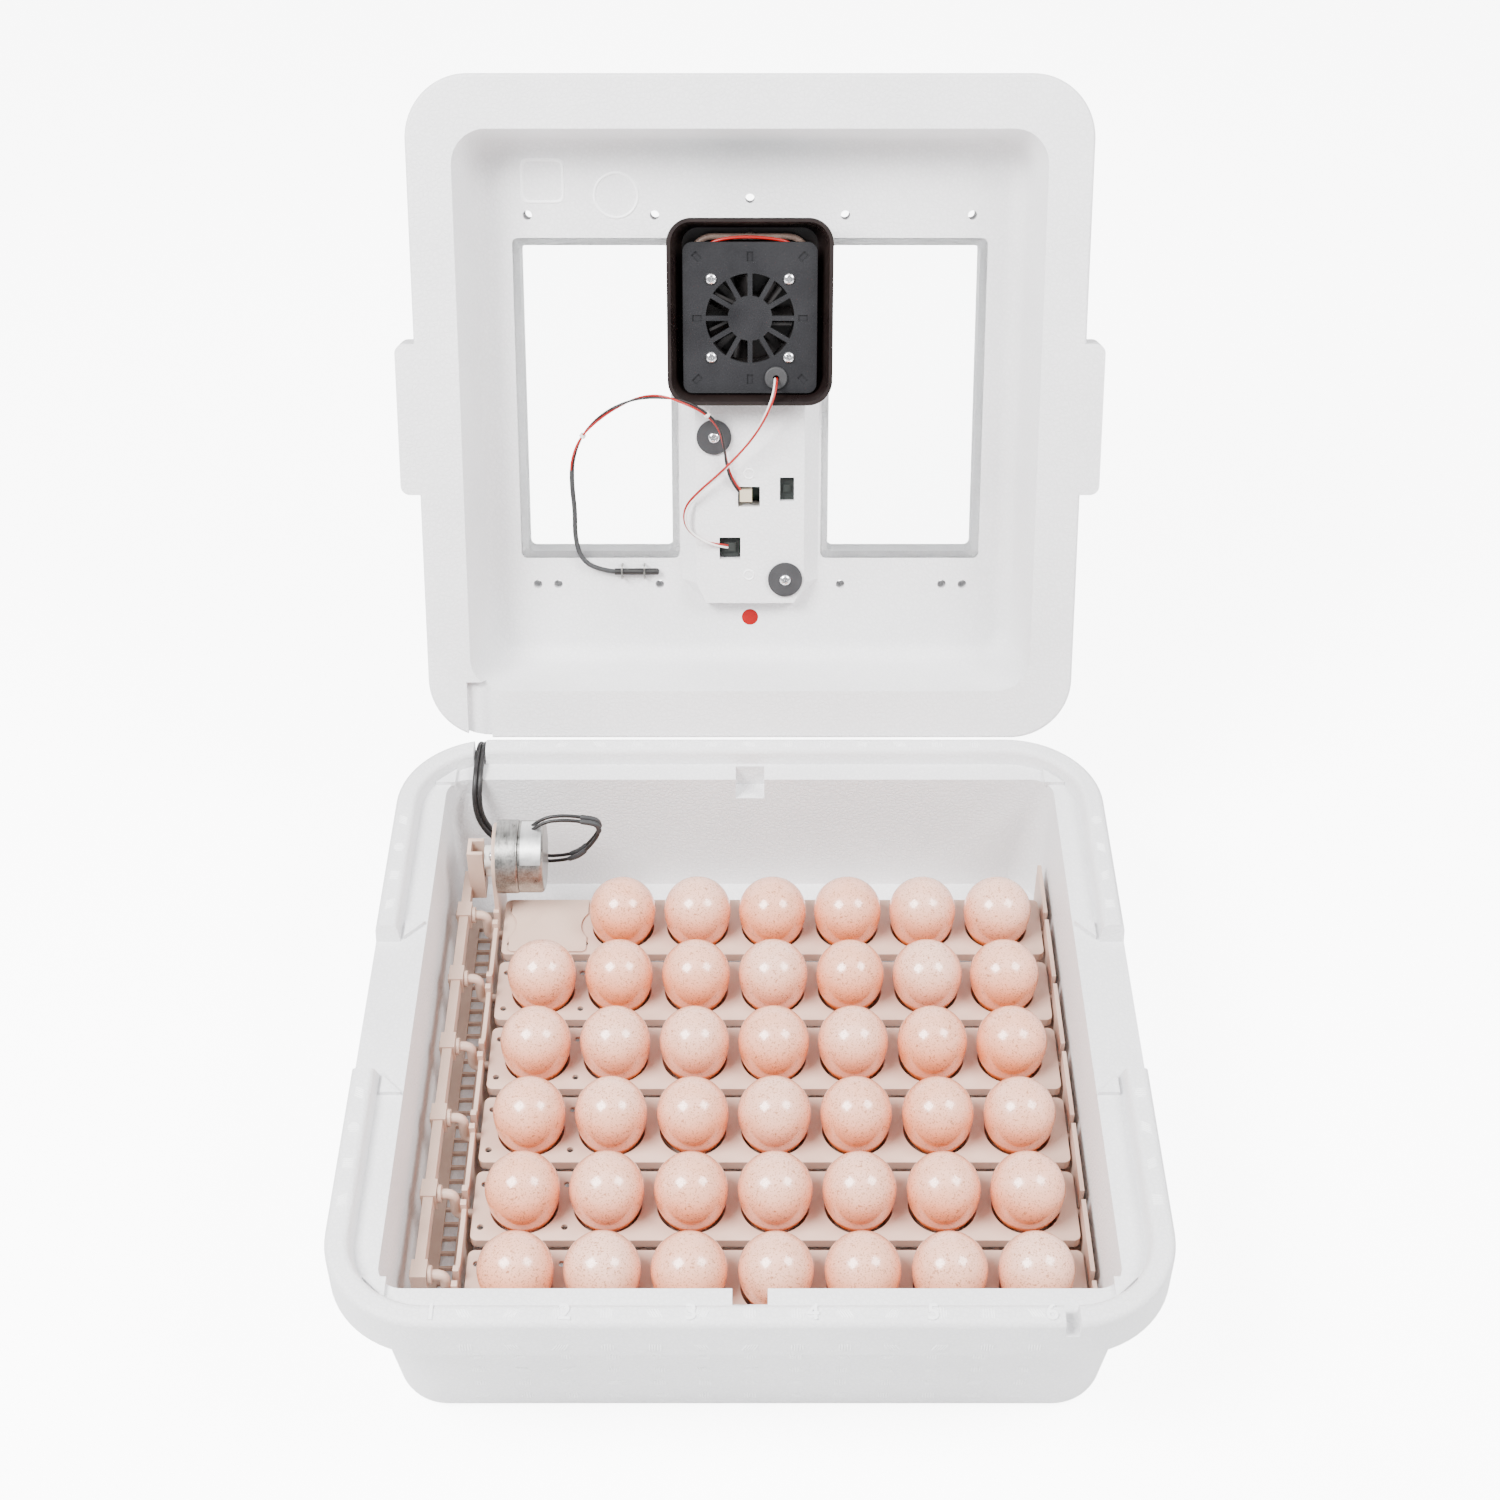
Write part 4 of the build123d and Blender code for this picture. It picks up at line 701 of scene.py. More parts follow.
# ---------------------------------------------------------------- turner's cord
@dataclass
class TurnerCord:
    """The turner motor's two-core lead: loose cores at the motor, flat lead after, a coil and its plug."""

    core: float = 1.75 * MM
    overlap: float = 0.93                        # how far each core's middle is from the web, in core radii
    loose_core: float = 1.15 * MM
    loose_gap: float = 2.1 * MM                  # from the line to a loose core's middle
    loose_length: float = 0.118
    joining: float = 0.02                        # length over which the loose cores come together
    fold: float = 0.062                          # length from the motor to the loop's tip
    sleeve_starts: tuple = (-0.028, 0.010)       # from the loop's tip
    sleeve_length: float = 0.020
    length: float = 1.8
    coil_at: tuple = (-70.0, 295.0)
    turn_radii: tuple = (43.2, 36.8, 30.6, 30.6, 36.8, 43.2)
    low_z: float = 3.7
    high_z: float = 10.9
    turn_points: int = 14
    start_angle: float = 240.0
    route: tuple = ((-142, 149, 118), (-134, 150, 126), (-119, 151, 127), (-106, 151, 125), (-98, 151, 123),
                    (-97, 151, 115), (-105, 152, 101), (-113, 155, 90), (-123, 160, 82), (-136, 167, 74),
                    (-152, 178, 69), (-168, 185, 74), (-178, 186, 88), (-181, 188, 104),
                    (-180, 198, 119), (-180, 215, 120), (-180, 233, 118),
                    (-179.5, 246, 105), (-178, 250, 87), (-175, 250, 67), (-173, 251, 47), (-168, 254, 28),
                    (-159, 260, 12), (-146, 268, 4.0), (-131, 272, 3.7), (-117, 270, 3.7), (-104, 264, 3.7))
    lead_out: tuple = ((-34, 266, 10.5), (-20, 270, 9.0), (-8, 274, 8.0), (-3.5, 279, 8.0), (-3, 284, 8.0))

    def coil_points(self) -> np.ndarray:
        """Turns of the coil, as the spline's own points.

        At angle a the point is centre + r (cos a, sin a): r eases from one turn's radius to the next, with a
        small wander, and the height steps up once, half way.

        Returns:
            Array (n, 3), in millimetres.
        """
        turns = len(self.turn_radii)
        count = turns * self.turn_points + 3
        turn = np.arange(count) / self.turn_points
        angle = np.radians(self.start_angle) + 2 * math.pi * turn
        radius = np.interp(turn, np.arange(turns) + 0.5, self.turn_radii)
        radius = np.minimum(radius + 0.5 * np.sin(angle * 1.7), 43.4)
        half = turns / 2
        height = self.low_z + (self.high_z - self.low_z) * np.clip((turn - half + 0.4) / 0.8, 0, 1)
        return np.stack([self.coil_at[0] + radius * np.cos(angle), self.coil_at[1] + radius * np.sin(angle),
                         height + 0.25 * np.sin(angle * 2.3)], axis=-1)

    def build(self, paint: Paint) -> None:
        """Args:
            paint: hands out the materials.
        """
        control = np.vstack([self.route, self.coil_points(), self.lead_out]) * MM
        points = smooth_line(control)
        line = Line.along(points, *self.hints(points))
        ease = np.clip((line.so_far - self.loose_length) / self.joining, 0, 1)
        radius = self.loose_core + (self.core - self.loose_core) * ease
        off = self.loose_gap + (self.core * self.overlap - self.loose_gap) * ease
        cord = (line.tube(radius, off) + line.tube(radius, -off)).piece(
            "turner_lead", paint.of(CORD_BLACK), "tub", "cord_black")
        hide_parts("turner_cord", "turner_cord_coil")
        sleeves = Patch(np.empty((0, 3)))
        for side in (-1, 1):
            for start in self.sleeve_starts:
                stretch = line.part(self.fold + start, self.fold + start + self.sleeve_length)
                from_end = np.minimum(stretch.so_far, stretch.so_far[::-1])
                taper = self.core * np.clip(from_end / (1.5 * MM) + 0.72, 0, 1)
                sleeves = sleeves + stretch.tube(taper, side * self.loose_gap)
        sleeve = sleeves.piece("lead_sleeves", paint.of(RUBBER), "tub", "dark_rubber")
        tie = self.tie().piece("coil_tie", paint.of(RUBBER), "tub", "dark_rubber")
        relief = self.plug_relief().piece("plug_relief", paint.of(CORD_BLACK), "tub", "cord_black")

    def hints(self, points: np.ndarray) -> tuple[np.ndarray, np.ndarray]:
        """Rough width directions of the flat lead, and where along its length each holds.

        Args:
            points: the lead's line.

        Returns:
            Directions (n, 3) and shares of the length (n,).
        """
        step = np.append(0, np.cumsum(np.linalg.norm(np.diff(points, axis=0), axis=1)))
        total = step[-1]
        middle = np.array([*self.coil_at, 0]) * MM
        inward = middle - points
        inward[:, 2] = 0
        inward /= np.maximum(np.linalg.norm(inward, axis=1)[:, None], 1e-6)
        coil_start, coil_end = 0.36, total - 0.05
        on_coil = (step > coil_start) & (step < coil_end)
        keys = [(0.0, (0, 1, 0)), (0.10, (0, 1, 0)), (0.13, (0.3, 0.9, 0.3)), (0.17, (0.8, 0.5, 0)),
                (0.20, (1, 0, 0)), (0.30, (1, 0, 0)), (0.335, (0.6, -0.8, 0))]
        shares = np.concatenate([[k / total for k, _ in keys], step[on_coil] / total, [1.0]])
        # the turns run anticlockwise, so the lead's right-hand side points outwards
        hints = np.vstack([[h for _, h in keys], -inward[on_coil], [(1, 0, 0)]])
        return hints, shares

    def tie(self) -> Patch:
        """A band round the coil's bundle: a rounded loop swept by a flat strip.

        At parameter a the loop's inner line is (x, z) = (9.9 cos a |cos a|^-0.5, 7.2 sin a |sin a|^-0.5) about
        the bundle's middle.

        Returns:
            The band.
        """
        angle = np.linspace(0, 2 * math.pi, 40, endpoint=False)
        x = 9.9 * np.sign(np.cos(angle)) * np.abs(np.cos(angle)) ** 0.5
        z = 7.2 * np.sign(np.sin(angle)) * np.abs(np.sin(angle)) ** 0.5
        ring = np.stack([x, z], axis=-1)
        across = np.array([(-2.2, 0.0), (2.2, 0.0), (2.2, 0.7), (-2.2, 0.7)])
        grow = ring[:, None] * (1 + across[None, :, 1, None] / 9.0)
        width = np.broadcast_to(across[:, 0], grow.shape[:2])
        points = np.stack([grow[..., 0], width, grow[..., 1]], axis=-1) * MM
        spot = math.radians(140)                 # where on the coil the band is
        out = (math.cos(spot), math.sin(spot), 0.0)
        at = (np.array([*self.coil_at, 0]) + 36.6 * np.array(out)) * MM
        return Patch.grid(points, True, True).moved(place((at[0], at[1], 8.0 * MM), out, (0, 0, 1)))

    def plug_relief(self) -> Patch:
        """A ribbed cone where the lead enters the plug: radius falls along it, with six rings.

        Returns:
            The cone.
        """
        t = np.linspace(0, 1, 37)
        radius = 6.2 - 1.9 * t - 0.5 * (np.sin(t * math.pi * 12) > 0.2) * (t < 0.97)
        profile = np.vstack([(0, 0), np.stack([radius, t * 17.0], axis=-1), (0, 17.0)]) * MM
        return turned(profile, 32).moved(place((-3 * MM, 285 * MM, 8 * MM), (1, 0, 0), (0, -1, 0)))


# ---------------------------------------------------------------- motor
@dataclass
class MotorLabel:
    """The blank silver label wrapped over the motor's can, whose axis lies along X."""

    axis_y: float = 146.0
    axis_z: float = 97.0
    ends: tuple = (-147.6, -134.4)
    inner: float = 23.3
    outer: float = 23.66
    sweep: tuple = (62.0, 150.0)

    def build(self, paint: Paint) -> None:
        """Makes the label.

        At angle a round the axis and radius r, the point is (x, r cos a, r sin a) from the axis. The label's
        cross section is a thin rectangle.

        Args:
            paint: hands out the materials.
        """
        angle = np.radians(np.linspace(*self.sweep, 30))[:, None]
        x = np.array([self.ends[0], self.ends[1], self.ends[1], self.ends[0]])[None]
        r = np.array([self.inner, self.inner, self.outer, self.outer])[None]
        y, z = self.axis_y + r * np.cos(angle), self.axis_z + r * np.sin(angle)
        wrap = Patch.grid(np.stack([x + 0 * angle, y, z], axis=-1) * MM, wrap_v=True)
        wrap.piece("motor_label", paint.of(SILVER_LABEL), "tub", "zinc_steel", 40)


# ---------------------------------------------------------------- lid frame
@dataclass(frozen=True)
class LidFrame:
    """Carries the lid's own measures to the open lid's place.

    They are x, s from the lid's rear edge and q out of its ceiling, in millimetres.
    """

    pole_y: float = 223.54245
    pole_z: float = 117.59179
    open_angle: float = math.radians(-114.0)
    rear_y: float = 213.5
    ceiling_z: float = 168.0

    def matrix(self) -> np.ndarray:
        """Returns the 4 x 4 matrix from (x, s, q) in metres to the row frame at rest."""
        cos, sin = math.cos(self.open_angle), math.sin(self.open_angle)
        dy, dz = (self.rear_y - self.pole_y) * MM, (self.ceiling_z - self.pole_z) * MM
        matrix = np.eye(4)
        matrix[1, 1], matrix[1, 2] = -cos, sin
        matrix[2, 1], matrix[2, 2] = -sin, -cos
        matrix[1, 3] = self.pole_y * MM + cos * dy - sin * dz
        matrix[2, 3] = self.pole_z * MM + sin * dy + cos * dz
        return matrix

    def points(self, route: tuple) -> np.ndarray:
        """Carries a route given in the lid's measures, in millimetres, to the row frame in metres."""
        local = np.asarray(route, float) * MM
        matrix = self.matrix()
        return local @ matrix[:3, :3].T + matrix[:3, 3]


LID = LidFrame()


def on_lid(at: tuple, x_axis: tuple = (1, 0, 0), z_axis: tuple = (0, 0, 1)) -> np.ndarray:
    """Returns a place given in the lid's measures (millimetres) as a matrix of the row frame."""
    return LID.matrix() @ place(tuple(np.array(at, float) * MM), x_axis, z_axis)


# ---------------------------------------------------------------- foam
@dataclass
class FoamMarks:
    """Moulding marks of the foam: groups of short ridges left by the mould's steam vents, and raised signs."""

    pitch: float = 25.0
    row_pitch: float = 16.0
    ridge_w: float = 0.85
    ridge_h: float = 0.5
    ridge_l: float = 6.2
    spacing: float = 1.45
    round_r: float = 3.6                         # radius of the round groups
    wall_half: float = 150.0                     # the groups stop this far from a wall's middle
    foot_y: float = -200.0
    foot_lean: tuple = (0, -12.5, 99.0)
    rim_y: float = -229.95
    ledge_y: float = -223.0
    ledge_z: float = 126.0
    roof_y: float = -204.0
    roof_z: float = -22.0
    lid_lean: tuple = (0, -9.5, 72.0)
    lid_middle: tuple = (0, 213.5, 0.0)
    numeral_x: tuple = (-167.0, -97.0, -31.0, 33.0, 96.0, 158.0)
    numeral_size: float = 13.5

    def ridge(self) -> Patch:
        """One ridge, one long by one wide by one high.

        At u along and v across, height is 1.35 sin(pi v) between the ends, less 0.2, so that both ends and
        sides run out into the wall.

        Returns:
            The patch, open below.
        """
        u, v = np.meshgrid([0.0, 0.12, 0.88, 1.0], np.linspace(0, 1, 4), indexing="ij")
        ramp = np.where((u > 0) & (u < 1), 1.0, 0.0)
        height = np.sin(math.pi * v) * ramp * 1.35 - 0.2
        return Patch.grid(np.stack([u - 0.5, v - 0.5, height], axis=-1))

    @staticmethod
    def quarter(turn: int) -> np.ndarray:
        """Returns the 3 x 3 matrix of so many quarter turns about Z."""
        cos, sin = math.cos(turn * math.pi / 2), math.sin(turn * math.pi / 2)
        return np.array([[cos, -sin, 0], [sin, cos, 0], [0, 0, 1]])

    def groups(self, corner: np.ndarray, along: np.ndarray, up: np.ndarray, centres: np.ndarray,
               start: int) -> np.ndarray:
        """Places of all ridges on one flat wall.

        Each group has five ridges, slanted by one of four angles in turn. In some groups the lengths follow a
        circle's chords.

        Args:
            corner: the wall's origin, in metres.
            along: unit direction of the wall's first measure.
            up: unit direction of its second.
            centres: array (n, 2) of the groups' middles, in metres.
            start: where the turn of angles starts.

        Returns:
            Array (5 n, 4, 4).
        """
        normal = np.cross(along, up)
        count = len(centres)
        order = np.arange(count) * 7 + start
        slant = np.radians(np.array([62.0, 118.0, 90.0, 90.0])[order % 4])
        k = np.arange(-2, 3)
        round_one = (order % 4 == 3)[:, None]
        chord = 2 * np.sqrt(self.round_r ** 2 - (k * self.spacing) ** 2)
        length = np.where(round_one, chord, self.ridge_l) * MM
        middle = centres[:, None, :] + np.stack([k * self.spacing * MM, np.zeros(5)], axis=-1)[None]
        direction = (np.cos(slant)[:, None] * along + np.sin(slant)[:, None] * up)[:, None]
        across = np.cross(normal, direction)
        at = corner + middle[..., 0:1] * along + middle[..., 1:2] * up
        matrix = np.zeros((count, 5, 4, 4))
        matrix[..., :3, 0] = direction * length[..., None]
        matrix[..., :3, 1] = across * self.ridge_w * MM
        matrix[..., :3, 2] = normal * self.ridge_h * MM
        matrix[..., :3, 3] = at
        matrix[..., 3, 3] = 1
        return matrix.reshape(-1, 4, 4)

    def lattice(self, u: tuple, v: tuple, clear: tuple = ()) -> np.ndarray:
        """Middles of the groups on one wall, in metres, without those inside a cleared box.

        Args:
            u: lowest and highest along the wall, in millimetres.
            v: lowest and highest up the wall.
            clear: boxes (u0, u1, v0, v1) that stay blank.

        Returns:
            Array (n, 2).
        """
        sides = ((u, self.pitch), (v, self.row_pitch))
        grid = [np.arange(low, high + 0.1, step) for (low, high), step in sides]
        points = np.stack(np.meshgrid(*grid, indexing="ij"), axis=-1).reshape(-1, 2)
        for u0, u1, v0, v1 in clear:
            inside = (points[:, 0] > u0) & (points[:, 0] < u1) & (points[:, 1] > v0) & (points[:, 1] < v1)
            points = points[~inside]
        return points * MM

    def build(self, paint: Paint) -> None:
        """Makes the marks on the tub and on the lid, and the raised signs.

        Args:
            paint: hands out the materials.
        """
        ridge = self.ridge()
        span = (-self.wall_half, self.wall_half)
        places = []
        for turn in range(4):
            spin = self.quarter(turn)
            along = spin @ (1.0, 0.0, 0.0)
            lean = spin @ np.array(self.foot_lean) / np.linalg.norm(self.foot_lean)
            foot = spin @ np.array([0, self.foot_y, 0]) * MM
            places.append(self.groups(foot, along, lean, self.lattice(span, (16, 90)), turn))
            edge = spin @ np.array([0, self.rim_y, 0]) * MM
            notch = ((-62, 62, 100, 130),) if turn % 2 else ()
            spots = self.lattice(span, (105, 106), notch)
            places.append(self.groups(edge, along, spin @ (0, 0, 1.0), spots, turn + 2))
            top = spin @ np.array([0, self.ledge_y, self.ledge_z]) * MM
            gap = ((-70, 70, -5, 5),) if turn % 2 else ((-186, -170, -5, 5), (160, 180, -5, 5))
            spots = self.lattice(span, (0, 1), gap)
            places.append(self.groups(top, along, spin @ (0, 1.0, 0), spots, turn + 1))
        # marks, signs and numerals take the paler foam, a painted highlight on their relief
        ridge.repeated(np.concatenate(places)).piece("tub_vent_marks", paint.of(FOAM_PAINTED_HIGHLIGHT), "tub", "foam", 180)
        self.lid_marks(ridge).piece("lid_vent_marks", paint.of(FOAM_PAINTED_HIGHLIGHT), "lid", "foam", 180)
        self.signs().piece("ceiling_signs", paint.of(FOAM_PAINTED_HIGHLIGHT), "lid", "foam", 30)
        self.numerals().piece("place_numerals", paint.of(FOAM_PAINTED_HIGHLIGHT), "tub", "foam", 30)

    def lid_marks(self, ridge: Patch) -> Patch:
        """Marks on the lid's four outer walls and its roof.

        Args:
            ridge: one ridge.

        Returns:
            All of them, in the row frame.
        """
        places = []
        middle = np.array(self.lid_middle)
        span = (-self.wall_half, self.wall_half)
        for turn in range(4):
            spin = self.quarter(turn)
            along = spin @ (-1.0, 0.0, 0.0)
            down = spin @ np.array(self.lid_lean) / np.linalg.norm(self.lid_lean)
            roof = (middle + spin @ np.array([0, self.roof_y, self.roof_z])) * MM
            ear = ((-62, 62, 40, 80),) if turn % 2 else ()
            places.append(self.groups(roof, along, down, self.lattice(span, (14, 66), ear), turn))
        roof = (middle + (0, 0, self.roof_z)) * MM
        # blank round the control box, the two windows and the vent plug
        pocket = ((-115, 115, -140, 10), (-170, -30, -115, 125), (30, 170, -115, 125), (-20, 20, -150, -130))
        places.append(self.groups(roof, np.array([-1.0, 0, 0]), np.array([0, 1.0, 0]),
                                  self.lattice((-175, 175), (-176, 176), pocket), 1))
        return ridge.repeated(np.einsum("ij,njk->nik", LID.matrix(), np.concatenate(places)))

    def signs(self) -> Patch:
        """Raised outlines on the lid's ceiling: a circle, a square and two small rings.

        Each is a closed line swept by a low rounded bead: beside the line by b, the height is
        h cos(pi b / 2 w).

        Returns:
            The outlines, in the row frame.
        """
        turn = np.linspace(0, 2 * math.pi, 64, endpoint=False)
        circle = np.stack([np.cos(turn), np.sin(turn)], axis=-1)
        square = np.maximum(np.abs(circle), 1e-6) ** 0.28 * np.sign(circle)
        made = Patch(np.empty((0, 3)))
        # outline, its half size, its place on the lid, the bead's half width and height
        outlines = [(circle, 14.0, (-86.0, 350.0, 0.0), 1.1, 0.9),
                    (square, 13.2, (-133.0, 359.0, 0.0), 1.1, 0.9),
                    (circle, 3.2, (-0.7, 171.4, 12.0), 0.7, 0.7), (circle, 3.2, (-0.7, 102.9, 12.0), 0.7, 0.7)]
        for outline, size, at, width, height in outlines:
            beside = np.linspace(-1, 1, 7)
            rings = outline[None] * (size + beside[:, None, None] * width)
            rise = (np.cos(beside * math.pi / 2) * height - 0.05)[:, None, None] * np.ones((1, len(turn), 1))
            bead = Patch.grid(np.concatenate([rings, rise], axis=-1) * MM, wrap_v=True)
            made = made + bead.moved(on_lid(at))
        return made

    def numerals(self) -> Patch:
        """The numbers 1 to 6 raised on the front ledge.

        Returns:
            All six, in the row frame.
        """
        made = Patch(np.empty((0, 3)))
        for number, x in enumerate(self.numeral_x, 1):
            curve = bpy.data.curves.new("numeral", "FONT")
            curve.body, curve.size = str(number), self.numeral_size * MM
            curve.extrude, curve.bevel_depth = 0.8 * MM, 0.3 * MM
            curve.align_x, curve.align_y = "CENTER", "CENTER"
            holder = bpy.data.objects.new("numeral", curve)
            mesh = bpy.data.meshes.new_from_object(holder)
            points = np.empty(len(mesh.vertices) * 3)
            mesh.vertices.foreach_get("co", points)
            faces = [np.array([tuple(p.vertices)]) for p in mesh.polygons]
            patch = Patch(points.reshape(-1, 3), faces)
            made = made + patch.moved(place((x * MM, self.ledge_y * MM, (self.ledge_z + 0.02) * MM),
                                             (1, 0, 0), (0, 0, 1)))
            bpy.data.objects.remove(holder)
            bpy.data.curves.remove(curve)
        return made


# ---------------------------------------------------------------- eggs
@dataclass
class Eggs:
    """Forty-one hen's eggs, each a little different in size, lean and tone."""

    radius: float = 21.8
    point: float = 34.5
    tip: float = 12.0
    widest_z: float = 76.0
    first_row_y: float = 118.2
    row_pitch: float = 55.7
    column_pitch: float = 48.5
    middle_x: float = 14.5
    rows: int = 6
    columns: int = 7

    def profile(self) -> np.ndarray:
        """The egg's outline: a sphere above, a long arc down the flank and a small sphere at the point.

        The flank's circle has radius f and its middle at (R - f, 0), where f makes it meet the tip's circle.

        Returns:
            Array (n, 2) of radius and height, in metres.
        """
        tip_z = self.tip - self.point
        flank = (self.tip ** 2 - self.radius ** 2 - tip_z ** 2) / (2 * (self.tip - self.radius))
        lean = math.atan2(-tip_z, flank - self.radius)
        top = np.linspace(math.pi / 2, 0, 14)
        side = np.linspace(0, -lean, 9)[1:]
        low = np.linspace(-lean, -math.pi / 2, 10)[1:]
        arcs = [np.stack([self.radius * np.cos(top), self.radius * np.sin(top)], axis=-1),
                np.stack([self.radius - flank + flank * np.cos(side), flank * np.sin(side)], axis=-1),
                np.stack([self.tip * np.cos(low), tip_z + self.tip * np.sin(low)], axis=-1)]
        return np.concatenate(arcs) * MM

    def build(self, paint: Paint) -> None:
        """Makes each row's eggs as one piece that rides on its tray.

        Args:
            paint: hands out the materials.
        """
        rng = np.random.default_rng(SEED)
        egg = turned(self.profile(), 44)
        crown = np.clip((egg.points[:, 2] / MM + self.point) / (self.point + self.radius), 0, 1)
        for row in range(self.rows):
            columns = np.arange(self.columns)[1 if row == 0 else 0:]
            count = len(columns)
            lean, way, size = (rng.normal(0, 2.2, count), rng.uniform(0, 2 * math.pi, count),
                               rng.uniform(0.975, 1.0, (count, 2)))
            tint = rng.uniform(0.0, 0.3, count)
            tilt = np.radians(np.clip(lean, -4, 4))
            cos_w, sin_w = np.cos(way), np.sin(way)
            places = np.zeros((count, 4, 4))
            turn = np.stack([np.stack([cos_w, -sin_w, 0 * way], -1), np.stack([sin_w, cos_w, 0 * way], -1),
                             np.stack([0 * way, 0 * way, 1 + 0 * way], -1)], 1)
            nod = np.stack([np.stack([np.cos(tilt), 0 * tilt, np.sin(tilt)], -1),
                            np.stack([0 * tilt, 1 + 0 * tilt, 0 * tilt], -1),
                            np.stack([-np.sin(tilt), 0 * tilt, np.cos(tilt)], -1)], 1)
            places[:, :3, :3] = turn @ nod * np.stack([size[:, 0], size[:, 0], size[:, 1]], -1)[:, None]
            places[:, 0, 3] = (self.middle_x + (columns - (self.columns - 1) / 2) * self.column_pitch) * MM
            places[:, 1, 3] = (self.first_row_y - row * self.row_pitch) * MM
            places[:, 2, 3] = self.widest_z * MM
            places[:, 3, 3] = 1
            # tone per point: each egg's random tint, plus painted warm shade that grows from the crown down to
            # the point
            tones = (tint[:, None] + 0.95 * np.clip((0.92 - crown[None]) / 0.55, 0, 1)).ravel()
            name, body = f"eggs_{row + 1}", f"tray_{row + 1}"
            eggs = egg.repeated(places)
            piece = eggs.piece(f"egg_row_{row + 1}", paint.of(EGGSHELL), body, "eggshell", 180, tones)
            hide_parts(name)


# ---------------------------------------------------------------- screws
def cross_head(diameter: float, height: float, rings: int = 18, steps: int = 72) -> Patch:
    """A pan-head screw's head with a cross recess.

    Height over radius r is h (1 - 0.55 (r/R)^3.5), less a cross-shaped sink: within about 0.13 R of either axis
    and 0.63 R of the middle, it drops by 0.62 h.

    Args:
        diameter: head diameter, in millimetres.
        height: head height.
        rings: divisions from middle to edge.
        steps: divisions round.

    Returns:
        The head, its underside at z = 0.
    """
    big = diameter / 2
    r = np.linspace(0, 1, rings)[:, None] ** 0.8
    angle = np.linspace(0, 2 * math.pi, steps, endpoint=False)[None]
    x, y = r * np.cos(angle), r * np.sin(angle)
    dome = 1 - 0.55 * (r * np.ones_like(angle)) ** 3.5
    near = np.minimum(np.abs(x), np.abs(y))
    far = np.maximum(np.abs(x), np.abs(y))
    sink = np.clip((0.15 - near) / 0.04, 0, 1) * np.clip((0.66 - far) / 0.06, 0, 1)
    z = dome - 0.62 * sink
    top = np.stack([x * big, y * big, z * height], axis=-1)
    skirt = np.stack([x[-1] * big, y[-1] * big, np.zeros(steps)], axis=-1)[None]
    under = np.zeros((1, steps, 3))
    return Patch.grid(np.concatenate([top, skirt, under]) * MM, wrap_v=True)


@dataclass
class Screws:
    """All the visible screw heads."""

    lid_head: tuple = (7.1, 2.0)                 # diameter and height
    gearbox_head: tuple = (6.0, 1.75)
    fan_s: float = 275.0
    fan_q: float = 25.0
    half_span: float = 25.0
    fan_turns: tuple = (20, 65, 38, 82)          # degrees that each cross is turned by
    washers: tuple = ((-23.7, 196.0), (23.5, 100.0))
    washer_q: float = 14.0
    gearbox_spots: tuple = ((-166.05, 133.0, 110.0), (-166.05, 159.0, 110.0))

    def build(self, paint: Paint) -> None:
        """Makes the fan's, the control box's and the gearbox's screw heads.

        Args:
            paint: hands out the materials.
        """
        head = cross_head(*self.lid_head)
        spots = [(sx * self.half_span, self.fan_s + sy * self.half_span, self.fan_q)
                 for sx in (-1, 1) for sy in (-1, 1)]
        turns = np.radians(self.fan_turns)
        places = np.stack([on_lid(p, (math.cos(a), math.sin(a), 0)) for p, a in zip(spots, turns)])
        fan = head.repeated(places).piece("fan_screw_heads", paint.of(CHROME), "lid", "screw_steel", 35)
        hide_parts("fan_screws")
        spots = [(x, s, self.washer_q) for x, s in self.washers]
        places = np.stack([on_lid(p, (math.cos(a), math.sin(a), 0)) for p, a in zip(spots, (0.5, 1.2))])
        box = head.repeated(places).piece("box_screw_heads", paint.of(CHROME), "lid", "screw_steel", 35)
        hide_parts("control_box_screws")
        small = cross_head(*self.gearbox_head)
        places = np.stack([place(tuple(np.array(p) * MM), (0, math.cos(a), math.sin(a)), (-1, 0, 0))
                           for p, a in zip(self.gearbox_spots, (0.3, 0.9))])
        motor = small.repeated(places).piece("gearbox_screw_heads", paint.of(CHROME), "tub", "screw_steel", 35)
        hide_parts("motor_screws")


